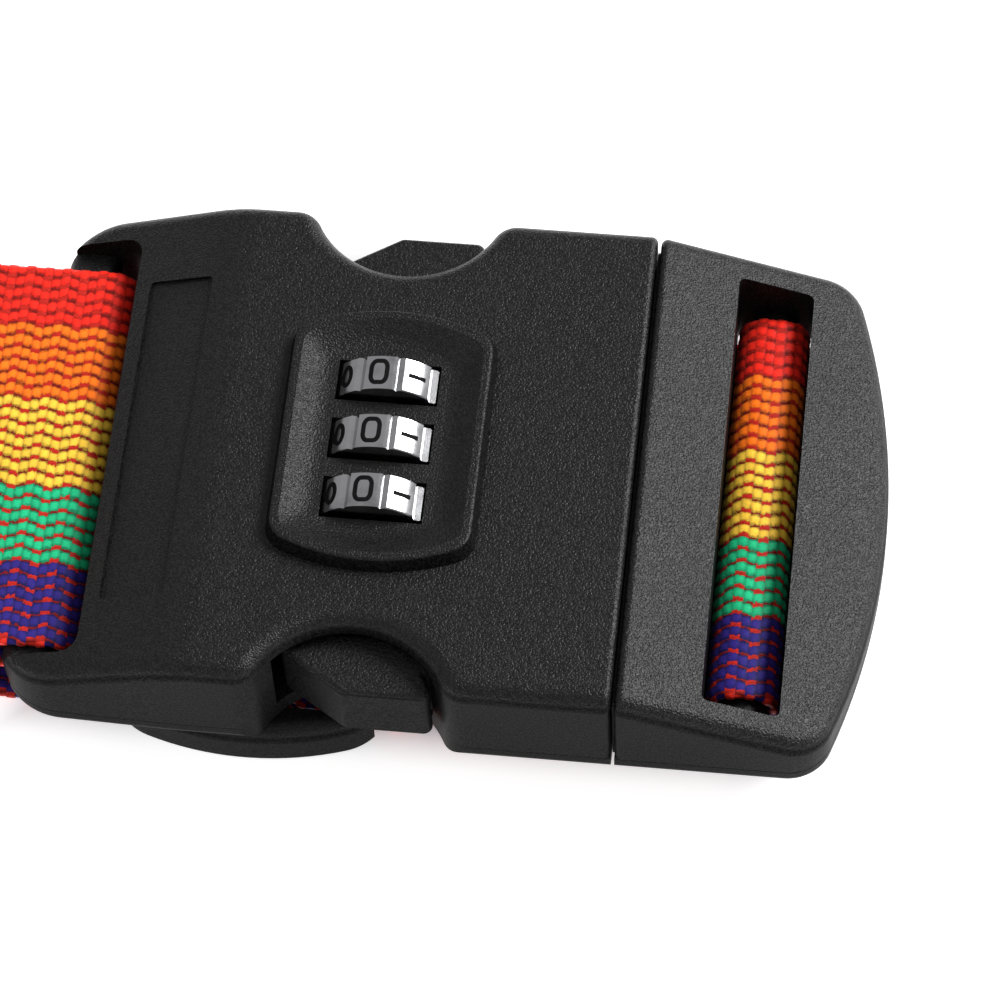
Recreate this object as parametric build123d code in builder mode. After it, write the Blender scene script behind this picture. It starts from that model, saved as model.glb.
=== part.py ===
from build123d import *
import os
from math import sqrt

os.makedirs("parts", exist_ok=True)

# A luggage strap: 50 mm webbing with a side-release buckle that has a three-dial lock.
# Millimetres. The floor is z = 0, X runs along the strap and Y across it. The origin is on the
# floor under the middle of the whole object. The buckle's two halves meet at MOUTH_X.

# Overall
MOUTH_X = 113.0
BOTTOM_Z = 6.5
PARTING_Z = 9.0
TOP_Z = 21.0
HALF_WIDTH = 30.0
SIDE_WALL = 3.5
ROOF = 2.2
EDGE_R = 1.9
MOUTH_EDGE_R = 0.7
WALL_GAP = 0.3

# Webbing
WEB_WIDTH = 48.0
WEB = 1.3
WEB_PITCH = 1.4
LAYER_Z = WEB / 2

# Socket
SOCKET_LENGTH = 67.4
SOCKET_LEFT = MOUTH_X - SOCKET_LENGTH
RAMP_LENGTH = 20.1
RAMP_X = SOCKET_LEFT + RAMP_LENGTH
RAMP_FOOT_Z = 14.5
RIDGE_R = 18.0
END_HALF_WIDTH = 29.4
TAPER_R = 100.0
CORNER_R = 7.5
SLOT_RIGHT = SOCKET_LEFT + 9.5
SLOT_HALF = 26.4
SLOT_CORNER_R = 2.0
BAR_WIDTH = 5.8
BAR_X = SOCKET_LEFT + 3.5
BAR_LOW_Z = 9.4
BAR_HIGH_Z = 13.3
BAR_R = 1.6

# Finger scallops
SCALLOP_X = MOUTH_X - 28.1
SCALLOP_R = 11.1
SCALLOP_Y = HALF_WIDTH + 3.6
LIP_R = 3.0

# Lock
DIAL_X = MOUTH_X - 27.75
DIAL_Z = 17.0
DIAL_R = 6.9
DIAL_WIDTH = 4.2
DIAL_PITCH = 7.4
DIAL_FACES = 10
DIAL_REST_TURN = 7.6
GROOVE_WIDTH = 1.4
GROOVE_DEPTH = 0.4
GROOVE_SIDE = sqrt((GROOVE_WIDTH / 2 + 0.1) ** 2 + (GROOVE_DEPTH + 0.1) ** 2)
AXLE_R = 1.0
RUNNING_GAP = 0.06
SLEEVE_R = 2.2
FLANGE_R = 3.7
FLANGE_FROM = 3.3
FLANGE_THICK = 1.0
GATE_WIDTH = 2.3
GATE_DEPTH_R = 2.45
RAIL_OFFSET = 8.3
RAIL_THICK = 1.6
TOOTH_HEIGHT = 1.8
TOOTH_THICK = 0.6
TOOTH_TIP_R = 2.6
NEAR_TOOTH_Y = 2.5
FAR_TOOTH_Y = 4.85
RIB_NEAR_Y = -12.1
RIB_FAR_Y = 13.3
RIB_THICK = 1.8
DIAL_NAMES = ["near", "middle", "far"]
DIAL_Y = [-DIAL_PITCH, 0.0, DIAL_PITCH]

BASE_FLOOR_Z = 8.5
LOW_EDGE_R = 1.4
PARTING_GROOVE = 0.2
DETENT_REACH = 7.0
DETENT_THICK = 0.35
DETENT_TIP_Z = DIAL_Z - DIAL_R - 0.12
BEAM_LOW_Z = 10.8
BEAM_HIGH_Z = 13.0
BEAM_IN = 16.4
BEAM_OUT = 18.4
PAD_X = MOUTH_X - 14.0
PAD_HALF = 1.6
PAD_OUT = 22.2
SPRING_X = MOUTH_X - 16.6
SPRING_Z = 11.9
SPRING_R = 1.1
SPRING_WIRE = 0.35
SPRING_TURNS = 5
SPRING_STOP_Y = 11.2
SPRING_STOP_THICK = 1.2
RESET_X = MOUTH_X - 44.0
RESET_Y = -8.0
RESET_R = 1.8

# Boss round the dials
BOSS_X = DIAL_X + 0.2
BOSS_Y = 0.25
BOSS_WIDTH = 23.2
BOSS_SIDE_HALF = 13.7
BOSS_END_HALF = 16.4
BOSS_CORNER_R = 3.2
BOSS_HEIGHT = 1.8
BOSS_DRAFT = 0.7
BOSS_RIM = 0.9
DISH_Z = TOP_Z + 0.5
DISH_SLOPE_RUN = 2.6
DISH_CORNER_R = 1.6
DISH_BLEND_R = 4.0
WINDOW_LENGTH = 10.7
WINDOW_WIDTH = 5.1

# Label recess on the ramp
RECESS_WIDTH = 7.6
RECESS_LENGTH = 40.5
RECESS_DEPTH = 0.4
RECESS_X = SOCKET_LEFT + 14.8

# Release arms
ARM_LOW_Z = 9.4
ARM_HIGH_Z = 17.5
PIVOT_X = MOUTH_X + 4.0
PIVOT_Y = 24.3
PIVOT_R = 1.0
ARM_ROOT_R = 2.3
ARM_IN = 22.5
ARM_OUT = 26.0
TAB_OUT = 29.0
TAB_IN = 21.7
CATCH_X = MOUTH_X - 18.9
CATCH_SLANT = 1.3
TAB_KNEE_X = MOUTH_X - 28.8
TAB_TIP_X = MOUTH_X - 36.6
TAB_TIP_Y = 24.0
TAB_CORNER_R = 1.0
TAB_EDGE_R = 0.6

# Male head
HEAD_X = MOUTH_X + 0.4
HEAD_SIDE_X = MOUTH_X + 22.2
HEAD_END_X = MOUTH_X + 27.8
HEAD_END_Z = 11.8
HEAD_CORNER_R = 5.0
HEAD_SLOT_FROM = MOUTH_X + 9.4
HEAD_SLOT_TO = MOUTH_X + 17.8
HEAD_SLOT_HALF = 26.6
HEAD_BAR_FROM = MOUTH_X + 11.05
HEAD_BAR_TO = MOUTH_X + 16.15
HEAD_BAR_Z = 10.8
HEAD_BAR_SHOULDER = 1.3
HEAD_WALL = 2.0
HEAD_ROOF = 1.4
HEAD_CAVITY_TO = MOUTH_X + 7.6
HEAD_EDGE_R = 1.9
ARM_WINDOW_GAP = 0.7
TONGUE_REACH = 14.0
TONGUE_HALF = 8.0
TONGUE_HEIGHT = 6.0

# Slider
SLIDER_LEFT = MOUTH_X - 56.0
SLIDER_WIDTH = 31.0
SLIDER_RIGHT = SLIDER_LEFT + SLIDER_WIDTH
SLIDER_X = SLIDER_LEFT + SLIDER_WIDTH / 2
SLIDER_SIDE_HALF = 25.6
SLIDER_END_HALF = 29.2
SLIDER_HEIGHT = 6.0
SLIDER_INSIDE_HALF = 25.4
SLIDER_RIM = 5.2
SLIDER_BAR = 6.0
RIM_LOW_Z = 4.4
CENTRE_LOW_Z = 1.55
CENTRE_HIGH_Z = 3.2
SLIDER_CORNER_R = 6.5
SLIDER_EDGE_R = 2.0

# Stored webbing
HANK_RIGHT = MOUTH_X - 118.0
HANK_LEFT = -(HEAD_END_X)
HANK_LEAVES = 6
HANK_HEIGHT = 2 * HANK_LEAVES * WEB_PITCH
HANK_END_R = 2.7
BAND_X = (HANK_LEFT + HANK_RIGHT) / 2
BAND_WIDTH = 8.0
BAND_THICK = 0.9
SPLICE_X = MOUTH_X - 20.0
UPPER_Z = BAR_HIGH_Z + LAYER_Z + 0.05
SEWN_FROM = SOCKET_LEFT - 26.0
SEWN_TO = SOCKET_LEFT - 11.0
SEWN_DROP = 2.0
TAIL_X = SEWN_FROM + 3.0
SPLICE_RISE = 0.25
WEB_DRIFT = {"web_male_loop": 1.2, "web_socket_loop": -0.4}

# Screws
SCREW_R = 1.0
SCREW_HEAD_R = 2.0
SCREW_HEAD_DEPTH = 1.4
SCREW_LENGTH = 5.0
SCREW_SINK = 0.3
CROSS_LENGTH = 2.6
CROSS_WIDTH = 0.6
CROSS_DEPTH = 0.6
POST_R = 2.4
SOCKET_POSTS = [(MOUTH_X - 50.0, 18.0), (MOUTH_X - 50.0, -18.0)]
SOCKET_POSTS += [(MOUTH_X - 8.0, 15.0), (MOUTH_X - 8.0, -15.0)]
HEAD_POSTS = [(MOUTH_X + 5.0, 12.0), (MOUTH_X + 5.0, -12.0)]

RAMP_ANGLE = (TOP_Z - RAMP_FOOT_Z) / RAMP_LENGTH
HEAD_SLOPE = (TOP_Z - HEAD_END_Z) / (HEAD_END_X - HEAD_X)


def ramp_z(x):
    """Height of the socket's ramp at x."""
    return TOP_Z - (RAMP_X - x) * RAMP_ANGLE


def head_z(x):
    """Height of the male head's sloping top at x."""
    return TOP_Z - (x - HEAD_X) * HEAD_SLOPE


def socket_outline():
    """Plan of the socket: parallel sides that run in a little towards the rounded left end."""
    with BuildSketch(mode=Mode.PRIVATE) as outline:
        with BuildLine():
            Polyline(
                (MOUTH_X, HALF_WIDTH),
                (RAMP_X, HALF_WIDTH),
                (SOCKET_LEFT, END_HALF_WIDTH),
                (SOCKET_LEFT, -END_HALF_WIDTH),
                (RAMP_X, -HALF_WIDTH),
                (MOUTH_X, -HALF_WIDTH),
                close=True,
            )
        make_face()
        fillet(outline.vertices().group_by(Axis.X)[1], TAPER_R)
        fillet(outline.vertices().group_by(Axis.X)[0], CORNER_R)
    return outline.sketch


def bite_outline():
    """Plan of what the finger scallops take away: a circle at each side, with rounded lips."""
    for side in (1, -1):
        with BuildSketch(mode=Mode.PRIVATE) as bite:
            with Locations((SCALLOP_X, side * SCALLOP_Y)):
                Circle(SCALLOP_R)
            with Locations((SCALLOP_X, side * (HALF_WIDTH + SCALLOP_R))):
                Rectangle(4 * SCALLOP_R, 2 * SCALLOP_R)
            lips = bite.vertices().filter_by(lambda v: abs(abs(v.Y) - HALF_WIDTH) < 0.01)
            fillet([v for v in lips if abs(v.X - SCALLOP_X) < 1.2 * SCALLOP_R], LIP_R)
        add(bite.sketch)


def boss_outline(inset, corner_r):
    """Plan of the boss, moved in by inset: straight sides with bowed ends and rounded corners."""
    half = BOSS_WIDTH / 2 - inset
    side = BOSS_SIDE_HALF - inset
    end = BOSS_END_HALF - inset
    left, right = BOSS_X - half, BOSS_X + half
    near, far = BOSS_Y - side, BOSS_Y + side
    with BuildSketch(mode=Mode.PRIVATE) as outline:
        with BuildLine():
            Line((right, near), (right, far))
            ThreePointArc((right, far), (BOSS_X, BOSS_Y + end), (left, far))
            Line((left, far), (left, near))
            ThreePointArc((left, near), (BOSS_X, BOSS_Y - end), (right, near))
        make_face()
        fillet(outline.vertices(), corner_r)
    return outline.sketch


def head_outline():
    """Plan of the male head: straight sides and a bowed end with rounded corners."""
    with BuildSketch(mode=Mode.PRIVATE) as outline:
        with BuildLine():
            Polyline(
                (HEAD_SIDE_X, HALF_WIDTH),
                (HEAD_X, HALF_WIDTH),
                (HEAD_X, -HALF_WIDTH),
                (HEAD_SIDE_X, -HALF_WIDTH),
            )
            ThreePointArc(
                (HEAD_SIDE_X, -HALF_WIDTH), (HEAD_END_X, 0), (HEAD_SIDE_X, HALF_WIDTH)
            )
        make_face()
        fillet(outline.vertices().group_by(Axis.X)[-1], HEAD_CORNER_R)
    return outline.sketch


def web_band(points, radius):
    """Side view of a layer of webbing whose middle follows the points, with rounded bends."""
    with BuildSketch(mode=Mode.PRIVATE) as band:
        with BuildLine() as line:
            if radius:
                FilletPolyline(*points, radius=radius)
            else:
                Polyline(*points)
        trace(line.edges(), line_width=WEB)
    return band.sketch


# ---------------------------------------------------------------- socket

with BuildPart() as socket_cover:
    with BuildSketch(Plane.XZ) as cover_side:
        with BuildLine():
            Polyline(
                (SOCKET_LEFT, PARTING_Z),
                (MOUTH_X, PARTING_Z),
                (MOUTH_X, TOP_Z),
                (RAMP_X, TOP_Z),
                (SOCKET_LEFT, RAMP_FOOT_Z),
                close=True,
            )
        make_face()
        ridge = cover_side.vertices().sort_by_distance((RAMP_X, TOP_Z))[0]
        fillet(ridge, RIDGE_R)
    extrude(amount=HALF_WIDTH, both=True)
    with BuildSketch(Plane.XY):
        add(socket_outline())
    extrude(amount=TOP_Z + 1, mode=Mode.INTERSECT)
    # Finger scallops, right through
    with BuildSketch(Plane.XY):
        bite_outline()
    extrude(amount=TOP_Z + 1, mode=Mode.SUBTRACT)
    # Rounded rim all the way round the top, and a smaller one round the mouth
    upright = faces().filter_by(lambda f: abs(f.normal_at().Z) < 0.1)
    outside = upright.filter_by(lambda f: f.center().X < MOUTH_X - 0.1)
    top_rim = outside.edges().filter_by(lambda e: min(v.Z for v in e.vertices()) > PARTING_Z + 2)
    fillet(top_rim, EDGE_R)
    mouth_rim = edges().filter_by(lambda e: abs(e.center().X - MOUTH_X) < 0.01)
    fillet(mouth_rim.filter_by(lambda e: e.center().Z > PARTING_Z + 0.1), MOUTH_EDGE_R)
    # Hollow, open below and at the mouth
    with BuildSketch(Plane.XZ):
        with BuildLine():
            Polyline(
                (SLOT_RIGHT + 1.6, PARTING_Z),
                (MOUTH_X, PARTING_Z),
                (MOUTH_X, TOP_Z - ROOF),
                (RAMP_X + 1, TOP_Z - ROOF),
                (SLOT_RIGHT + 1.6, ramp_z(SLOT_RIGHT + 1.6) - ROOF),
                close=True,
            )
        make_face()
    extrude(amount=HALF_WIDTH - SIDE_WALL, both=True, mode=Mode.SUBTRACT)
    # Open left end with the bar that holds the webbing
    with BuildSketch(Plane.XY.offset(PARTING_Z)):
        with Locations((SLOT_RIGHT, 0)):
            RectangleRounded(
                2 * SOCKET_LENGTH,
                2 * SLOT_HALF,
                SLOT_CORNER_R,
                align=(Align.MAX, Align.CENTER),
            )
    extrude(amount=TOP_Z, mode=Mode.SUBTRACT)
    with BuildSketch(Plane.XZ):
        with Locations((BAR_X, (BAR_LOW_Z + BAR_HIGH_Z) / 2)):
            RectangleRounded(BAR_WIDTH, BAR_HIGH_Z - BAR_LOW_Z, BAR_R)
    extrude(amount=SLOT_HALF, both=True)
    # The bar's ends stay inside the rounded corners
    with BuildSketch(Plane.XY):
        add(socket_outline())
    extrude(amount=TOP_Z + 1, mode=Mode.INTERSECT)
    # Boss with a dished middle
    with BuildSketch(Plane.XY.offset(TOP_Z - 0.5)):
        add(boss_outline(0, BOSS_CORNER_R))
    with BuildSketch(Plane.XY.offset(TOP_Z + BOSS_HEIGHT)):
        add(boss_outline(BOSS_DRAFT, BOSS_CORNER_R - BOSS_DRAFT / 2))
    loft()
    fillet(edges().group_by(Axis.Z)[-1], 0.35)
    with BuildSketch(Plane.XY.offset(TOP_Z + BOSS_HEIGHT)):
        add(boss_outline(BOSS_DRAFT + BOSS_RIM, BOSS_CORNER_R - BOSS_RIM))
    with BuildSketch(Plane.XY.offset(DISH_Z)):
        add(boss_outline(BOSS_DRAFT + BOSS_RIM + DISH_SLOPE_RUN, DISH_CORNER_R))
    loft(mode=Mode.SUBTRACT)
    level = faces().filter_by(lambda f: abs(f.center().Z - DISH_Z) < 0.01)
    fillet(level.sort_by(SortBy.AREA)[-1].outer_wire().edges(), DISH_BLEND_R)
    # Dial windows
    with BuildSketch(Plane.XY.offset(TOP_Z - ROOF - 1)):
        with Locations([(DIAL_X, y) for y in DIAL_Y]):
            Rectangle(WINDOW_LENGTH, WINDOW_WIDTH)
    extrude(amount=ROOF + BOSS_HEIGHT + 2, mode=Mode.SUBTRACT)
    # Room below the roof for the dials and for the sleeves' flanges
    for y in DIAL_Y:
        with BuildSketch(Plane.XZ.offset(-(y + WINDOW_WIDTH / 2))):
            with Locations((DIAL_X, DIAL_Z)):
                Circle(DIAL_R + WALL_GAP)
        extrude(amount=WINDOW_WIDTH, mode=Mode.SUBTRACT)
    with BuildSketch(Plane.XZ.offset(-(RIB_FAR_Y + 0.1))):
        with Locations((DIAL_X, DIAL_Z)):
            Circle(FLANGE_R + WALL_GAP)
    extrude(amount=RIB_FAR_Y - RIB_NEAR_Y - 1.0, mode=Mode.SUBTRACT)
    # Label recess in the ramp
    tilt = Plane(
        origin=(RECESS_X, 0, ramp_z(RECESS_X)),
        x_dir=(1, 0, RAMP_ANGLE),
        z_dir=(-RAMP_ANGLE, 0, 1),
    )
    with BuildSketch(tilt):
        RectangleRounded(RECESS_WIDTH, RECESS_LENGTH, 0.6)
    extrude(amount=-RECESS_DEPTH, mode=Mode.SUBTRACT)
    # Ribs that carry the axle
    with BuildSketch(Plane.XY.offset(DIAL_Z - 3.2)):
        with Locations((DIAL_X, RIB_NEAR_Y), (DIAL_X, RIB_FAR_Y + RIB_THICK)):
            Rectangle(12.0, RIB_THICK)
    extrude(until=Until.NEXT)
    with BuildSketch(Plane.XZ.offset(-20)):
        with Locations((DIAL_X, DIAL_Z)):
            Circle(AXLE_R)
    extrude(amount=40, mode=Mode.SUBTRACT)
    # Screw posts
    with BuildSketch(Plane.XY.offset(PARTING_Z)):
        with Locations(SOCKET_POSTS):
            Circle(POST_R)
    extrude(until=Until.NEXT)
    with BuildSketch(Plane.XY.offset(PARTING_Z)):
        with Locations(SOCKET_POSTS):
            Circle(SCREW_R)
    extrude(amount=5, mode=Mode.SUBTRACT)
socket_cover.part.label = "socket_cover"
export_step(socket_cover.part, "parts/socket_cover.step")

with BuildPart() as socket_base:
    with BuildSketch(Plane.XY.offset(BOTTOM_Z)):
        add(socket_outline())
    extrude(amount=PARTING_Z - BOTTOM_Z)
    low_rim = edges().group_by(Axis.Z)[0]
    fillet(low_rim.filter_by(lambda e: e.center().X < MOUTH_X - 0.1), LOW_EDGE_R)
    high_rim = edges().group_by(Axis.Z)[-1]
    chamfer(high_rim.filter_by(lambda e: e.center().X < MOUTH_X - 0.1), PARTING_GROOVE)
    with BuildSketch(Plane.XY):
        bite_outline()
    extrude(amount=TOP_Z, mode=Mode.SUBTRACT)
    # Open left end below the bar
    with BuildSketch(Plane.XY):
        with Locations((SLOT_RIGHT, 0)):
            RectangleRounded(
                2 * SOCKET_LENGTH,
                2 * SLOT_HALF,
                SLOT_CORNER_R,
                align=(Align.MAX, Align.CENTER),
            )
    extrude(amount=TOP_Z, mode=Mode.SUBTRACT)
    # Shallow pocket inside
    with BuildSketch(Plane.XY.offset(BASE_FLOOR_Z)):
        with Locations((SLOT_RIGHT + 3.0, 0)):
            Rectangle(
                MOUTH_X - SLOT_RIGHT - 6.0,
                2 * (HALF_WIDTH - SIDE_WALL - 5.0),
                align=(Align.MIN, Align.CENTER),
            )
    extrude(amount=TOP_Z, mode=Mode.SUBTRACT)
    # Stops for the plunger springs
    with BuildSketch(Plane.XY.offset(BASE_FLOOR_Z)):
        with Locations((SPRING_X, SPRING_STOP_Y), (SPRING_X, -SPRING_STOP_Y)):
            Rectangle(4.0, SPRING_STOP_THICK)
    extrude(amount=SPRING_Z + 1.6 - BASE_FLOOR_Z)
    # Reset hole, counterbored from inside, and screw holes counterbored from below
    with BuildSketch(Plane.XY.offset(BOTTOM_Z)):
        with Locations((RESET_X, RESET_Y)):
            Circle(RESET_R + RUNNING_GAP)
        with Locations(SOCKET_POSTS):
            Circle(SCREW_R)
    extrude(amount=TOP_Z, mode=Mode.SUBTRACT)
    with BuildSketch(Plane.XY.offset(BOTTOM_Z)):
        with Locations(SOCKET_POSTS):
            Circle(SCREW_HEAD_R + 0.3)
    extrude(amount=SCREW_HEAD_DEPTH, mode=Mode.SUBTRACT)
socket_base.part.label = "socket_base"
export_step(socket_base.part, "parts/socket_base.step")

# ---------------------------------------------------------------- lock

with BuildPart() as dial_axle:
    with BuildSketch(Plane.XZ.offset(-(RIB_FAR_Y + RIB_THICK))):
        with Locations((DIAL_X, DIAL_Z)):
            Circle(AXLE_R)
    extrude(amount=RIB_FAR_Y + RIB_THICK - RIB_NEAR_Y + RIB_THICK / 2)
dial_axle.part.label = "dial_axle"
export_step(dial_axle.part, "parts/dial_axle.step")

for name, y in zip(DIAL_NAMES, DIAL_Y):
    # The ring with the digits: ten round faces with a groove between each two
    with BuildPart() as dial:
        with BuildSketch(Plane.XZ.offset(-(y + DIAL_WIDTH / 2))):
            with Locations((DIAL_X, DIAL_Z)):
                Circle(DIAL_R)
            first = 90 + DIAL_REST_TURN + 180 / DIAL_FACES
            with Locations((DIAL_X, DIAL_Z)):
                with PolarLocations(DIAL_R, DIAL_FACES, start_angle=first):
                    with Locations((0.1, 0)):
                        Triangle(a=GROOVE_WIDTH + 0.2, b=GROOVE_SIDE, c=GROOVE_SIDE,
                                 rotation=90, align=(Align.CENTER, Align.MIN),
                                 mode=Mode.SUBTRACT)
            with Locations((DIAL_X, DIAL_Z)):
                Circle(SLEEVE_R, mode=Mode.SUBTRACT)
        extrude(amount=DIAL_WIDTH)
        chamfer(edges().filter_by(GeomType.CIRCLE).sort_by(SortBy.RADIUS)[-20:], 0.12)
    dial.part.label = f"dial_{name}"
    export_step(dial.part, f"parts/dial_{name}.step")

    # The sleeve inside it, with a flange that has a gate at each side
    with BuildPart() as sleeve:
        with BuildSketch(Plane.XZ.offset(-(y - DIAL_WIDTH / 2 + DIAL_PITCH - 0.05))):
            with Locations((DIAL_X, DIAL_Z)):
                Circle(SLEEVE_R)
                Circle(AXLE_R + RUNNING_GAP, mode=Mode.SUBTRACT)
        extrude(amount=DIAL_PITCH - 0.05)
        with BuildSketch(Plane.XZ.offset(-(y + FLANGE_FROM + FLANGE_THICK))):
            with Locations((DIAL_X, DIAL_Z)):
                Circle(FLANGE_R)
                Circle(SLEEVE_R, mode=Mode.SUBTRACT)
                Rectangle(3 * FLANGE_R, GATE_WIDTH, mode=Mode.SUBTRACT)
                Circle(GATE_DEPTH_R)
                Circle(SLEEVE_R - 0.2, mode=Mode.SUBTRACT)
        extrude(amount=FLANGE_THICK)
    sleeve.part.label = f"gate_sleeve_{name}"
    export_step(sleeve.part, f"parts/gate_sleeve_{name}.step")

with BuildPart() as detent_spring:
    # A flat strip with three fingers, one up to each dial
    with BuildSketch(Plane.XY.offset(BASE_FLOOR_Z)):
        with Locations((DIAL_X - DETENT_REACH, 0)):
            Rectangle(3.0, 2 * DIAL_PITCH + 3.0)
    extrude(amount=DETENT_THICK)
    for y in DIAL_Y:
        with BuildSketch(Plane.XZ.offset(-(y + 1.1))):
            with BuildLine():
                Polyline(
                    (DIAL_X - DETENT_REACH + 1.0, BASE_FLOOR_Z),
                    (DIAL_X - DETENT_REACH + 2.0, BASE_FLOOR_Z),
                    (DIAL_X, DETENT_TIP_Z - DETENT_THICK),
                    (DIAL_X + 1.6, DETENT_TIP_Z - 2 * DETENT_THICK),
                    (DIAL_X + 1.6, DETENT_TIP_Z - DETENT_THICK),
                    (DIAL_X, DETENT_TIP_Z),
                    (DIAL_X - DETENT_REACH + 1.6, BASE_FLOOR_Z + DETENT_THICK),
                    (DIAL_X - DETENT_REACH + 1.0, BASE_FLOOR_Z + DETENT_THICK),
                    close=True,
                )
            make_face()
        extrude(amount=2.2)
detent_spring.part.label = "detent_spring"
export_step(detent_spring.part, "parts/detent_spring.step")

# Each plunger is pushed in by one arm. Its rail passes beside the dials and its teeth go
# through the gates. The near one works on the dials' right side, the far one on the left.
for name, side, tooth_y in (("near", -1, NEAR_TOOTH_Y), ("far", 1, FAR_TOOTH_Y)):
    rail_x = DIAL_X - side * RAIL_OFFSET
    rail_out = rail_x - side * RAIL_THICK / 2
    last_y = [y + tooth_y for y in DIAL_Y][0 if side > 0 else -1]
    rail_end_y = last_y - side * 1.0
    with BuildPart() as plunger:
        with BuildSketch(Plane.XY.offset(BEAM_LOW_Z)):
            with BuildLine():
                Polyline(
                    (min(rail_x - RAIL_THICK / 2, PAD_X), side * BEAM_IN),
                    (PAD_X + PAD_HALF, side * BEAM_IN),
                    (PAD_X + PAD_HALF, side * PAD_OUT),
                    (PAD_X - PAD_HALF, side * PAD_OUT),
                    (PAD_X - PAD_HALF, side * BEAM_OUT),
                    (min(rail_x - RAIL_THICK / 2, PAD_X), side * BEAM_OUT),
                    close=True,
                )
            make_face()
        extrude(amount=BEAM_HIGH_Z - BEAM_LOW_Z)
        with BuildSketch(Plane.XY.offset(BEAM_LOW_Z)):
            with Locations((rail_x, side * (BEAM_IN + BEAM_OUT) / 2)):
                Rectangle(RAIL_THICK, BEAM_OUT - BEAM_IN)
        extrude(amount=DIAL_Z + TOOTH_HEIGHT / 2 - BEAM_LOW_Z)
        with BuildSketch(Plane.XY.offset(DIAL_Z - TOOTH_HEIGHT / 2)):
            with Locations((rail_x, (side * BEAM_OUT + rail_end_y) / 2)):
                Rectangle(RAIL_THICK, abs(side * BEAM_OUT - rail_end_y))
            tooth_x = DIAL_X - side * (RAIL_OFFSET + TOOTH_TIP_R) / 2
            with Locations([(tooth_x, y + tooth_y) for y in DIAL_Y]):
                Rectangle(RAIL_OFFSET - TOOTH_TIP_R, TOOTH_THICK)
        extrude(amount=TOOTH_HEIGHT)
    plunger.part.label = f"lock_plunger_{name}"
    export_step(plunger.part, f"parts/lock_plunger_{name}.step")

    # Coil spring between the plunger's beam and the stop on the base
    coil_from = SPRING_STOP_Y + SPRING_STOP_THICK / 2
    coil_length = BEAM_IN - coil_from - SPRING_WIRE
    with BuildPart() as coil:
        with BuildLine() as coil_line:
            start = Vector(SPRING_X, side * (coil_from + SPRING_WIRE / 2), SPRING_Z)
            Helix(
                pitch=coil_length / SPRING_TURNS,
                height=coil_length,
                radius=SPRING_R,
                center=start,
                direction=(0, side, 0),
            )
        wire = coil_line.edges()[0]
        with BuildSketch(Plane(origin=wire @ 0, z_dir=wire % 0)):
            Circle(SPRING_WIRE / 2)
        sweep()
    coil.part.label = f"plunger_spring_{name}"
    export_step(coil.part, f"parts/plunger_spring_{name}.step")

with BuildPart() as reset_button:
    with BuildSketch(Plane.XY.offset(BOTTOM_Z + 0.2)):
        with Locations((RESET_X, RESET_Y)):
            Circle(RESET_R)
    extrude(amount=BASE_FLOOR_Z - BOTTOM_Z)
    with BuildSketch(Plane.XY.offset(BASE_FLOOR_Z + 0.05)):
        with Locations((RESET_X, RESET_Y)):
            Circle(RESET_R + 0.9)
    extrude(amount=1.0)
    with BuildSketch(Plane.XY.offset(BOTTOM_Z + 0.2)):
        with Locations((RESET_X, RESET_Y)):
            Circle(0.7)
    extrude(amount=0.5, mode=Mode.SUBTRACT)
reset_button.part.label = "reset_button"
export_step(reset_button.part, "parts/reset_button.step")

# ---------------------------------------------------------------- male head

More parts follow.
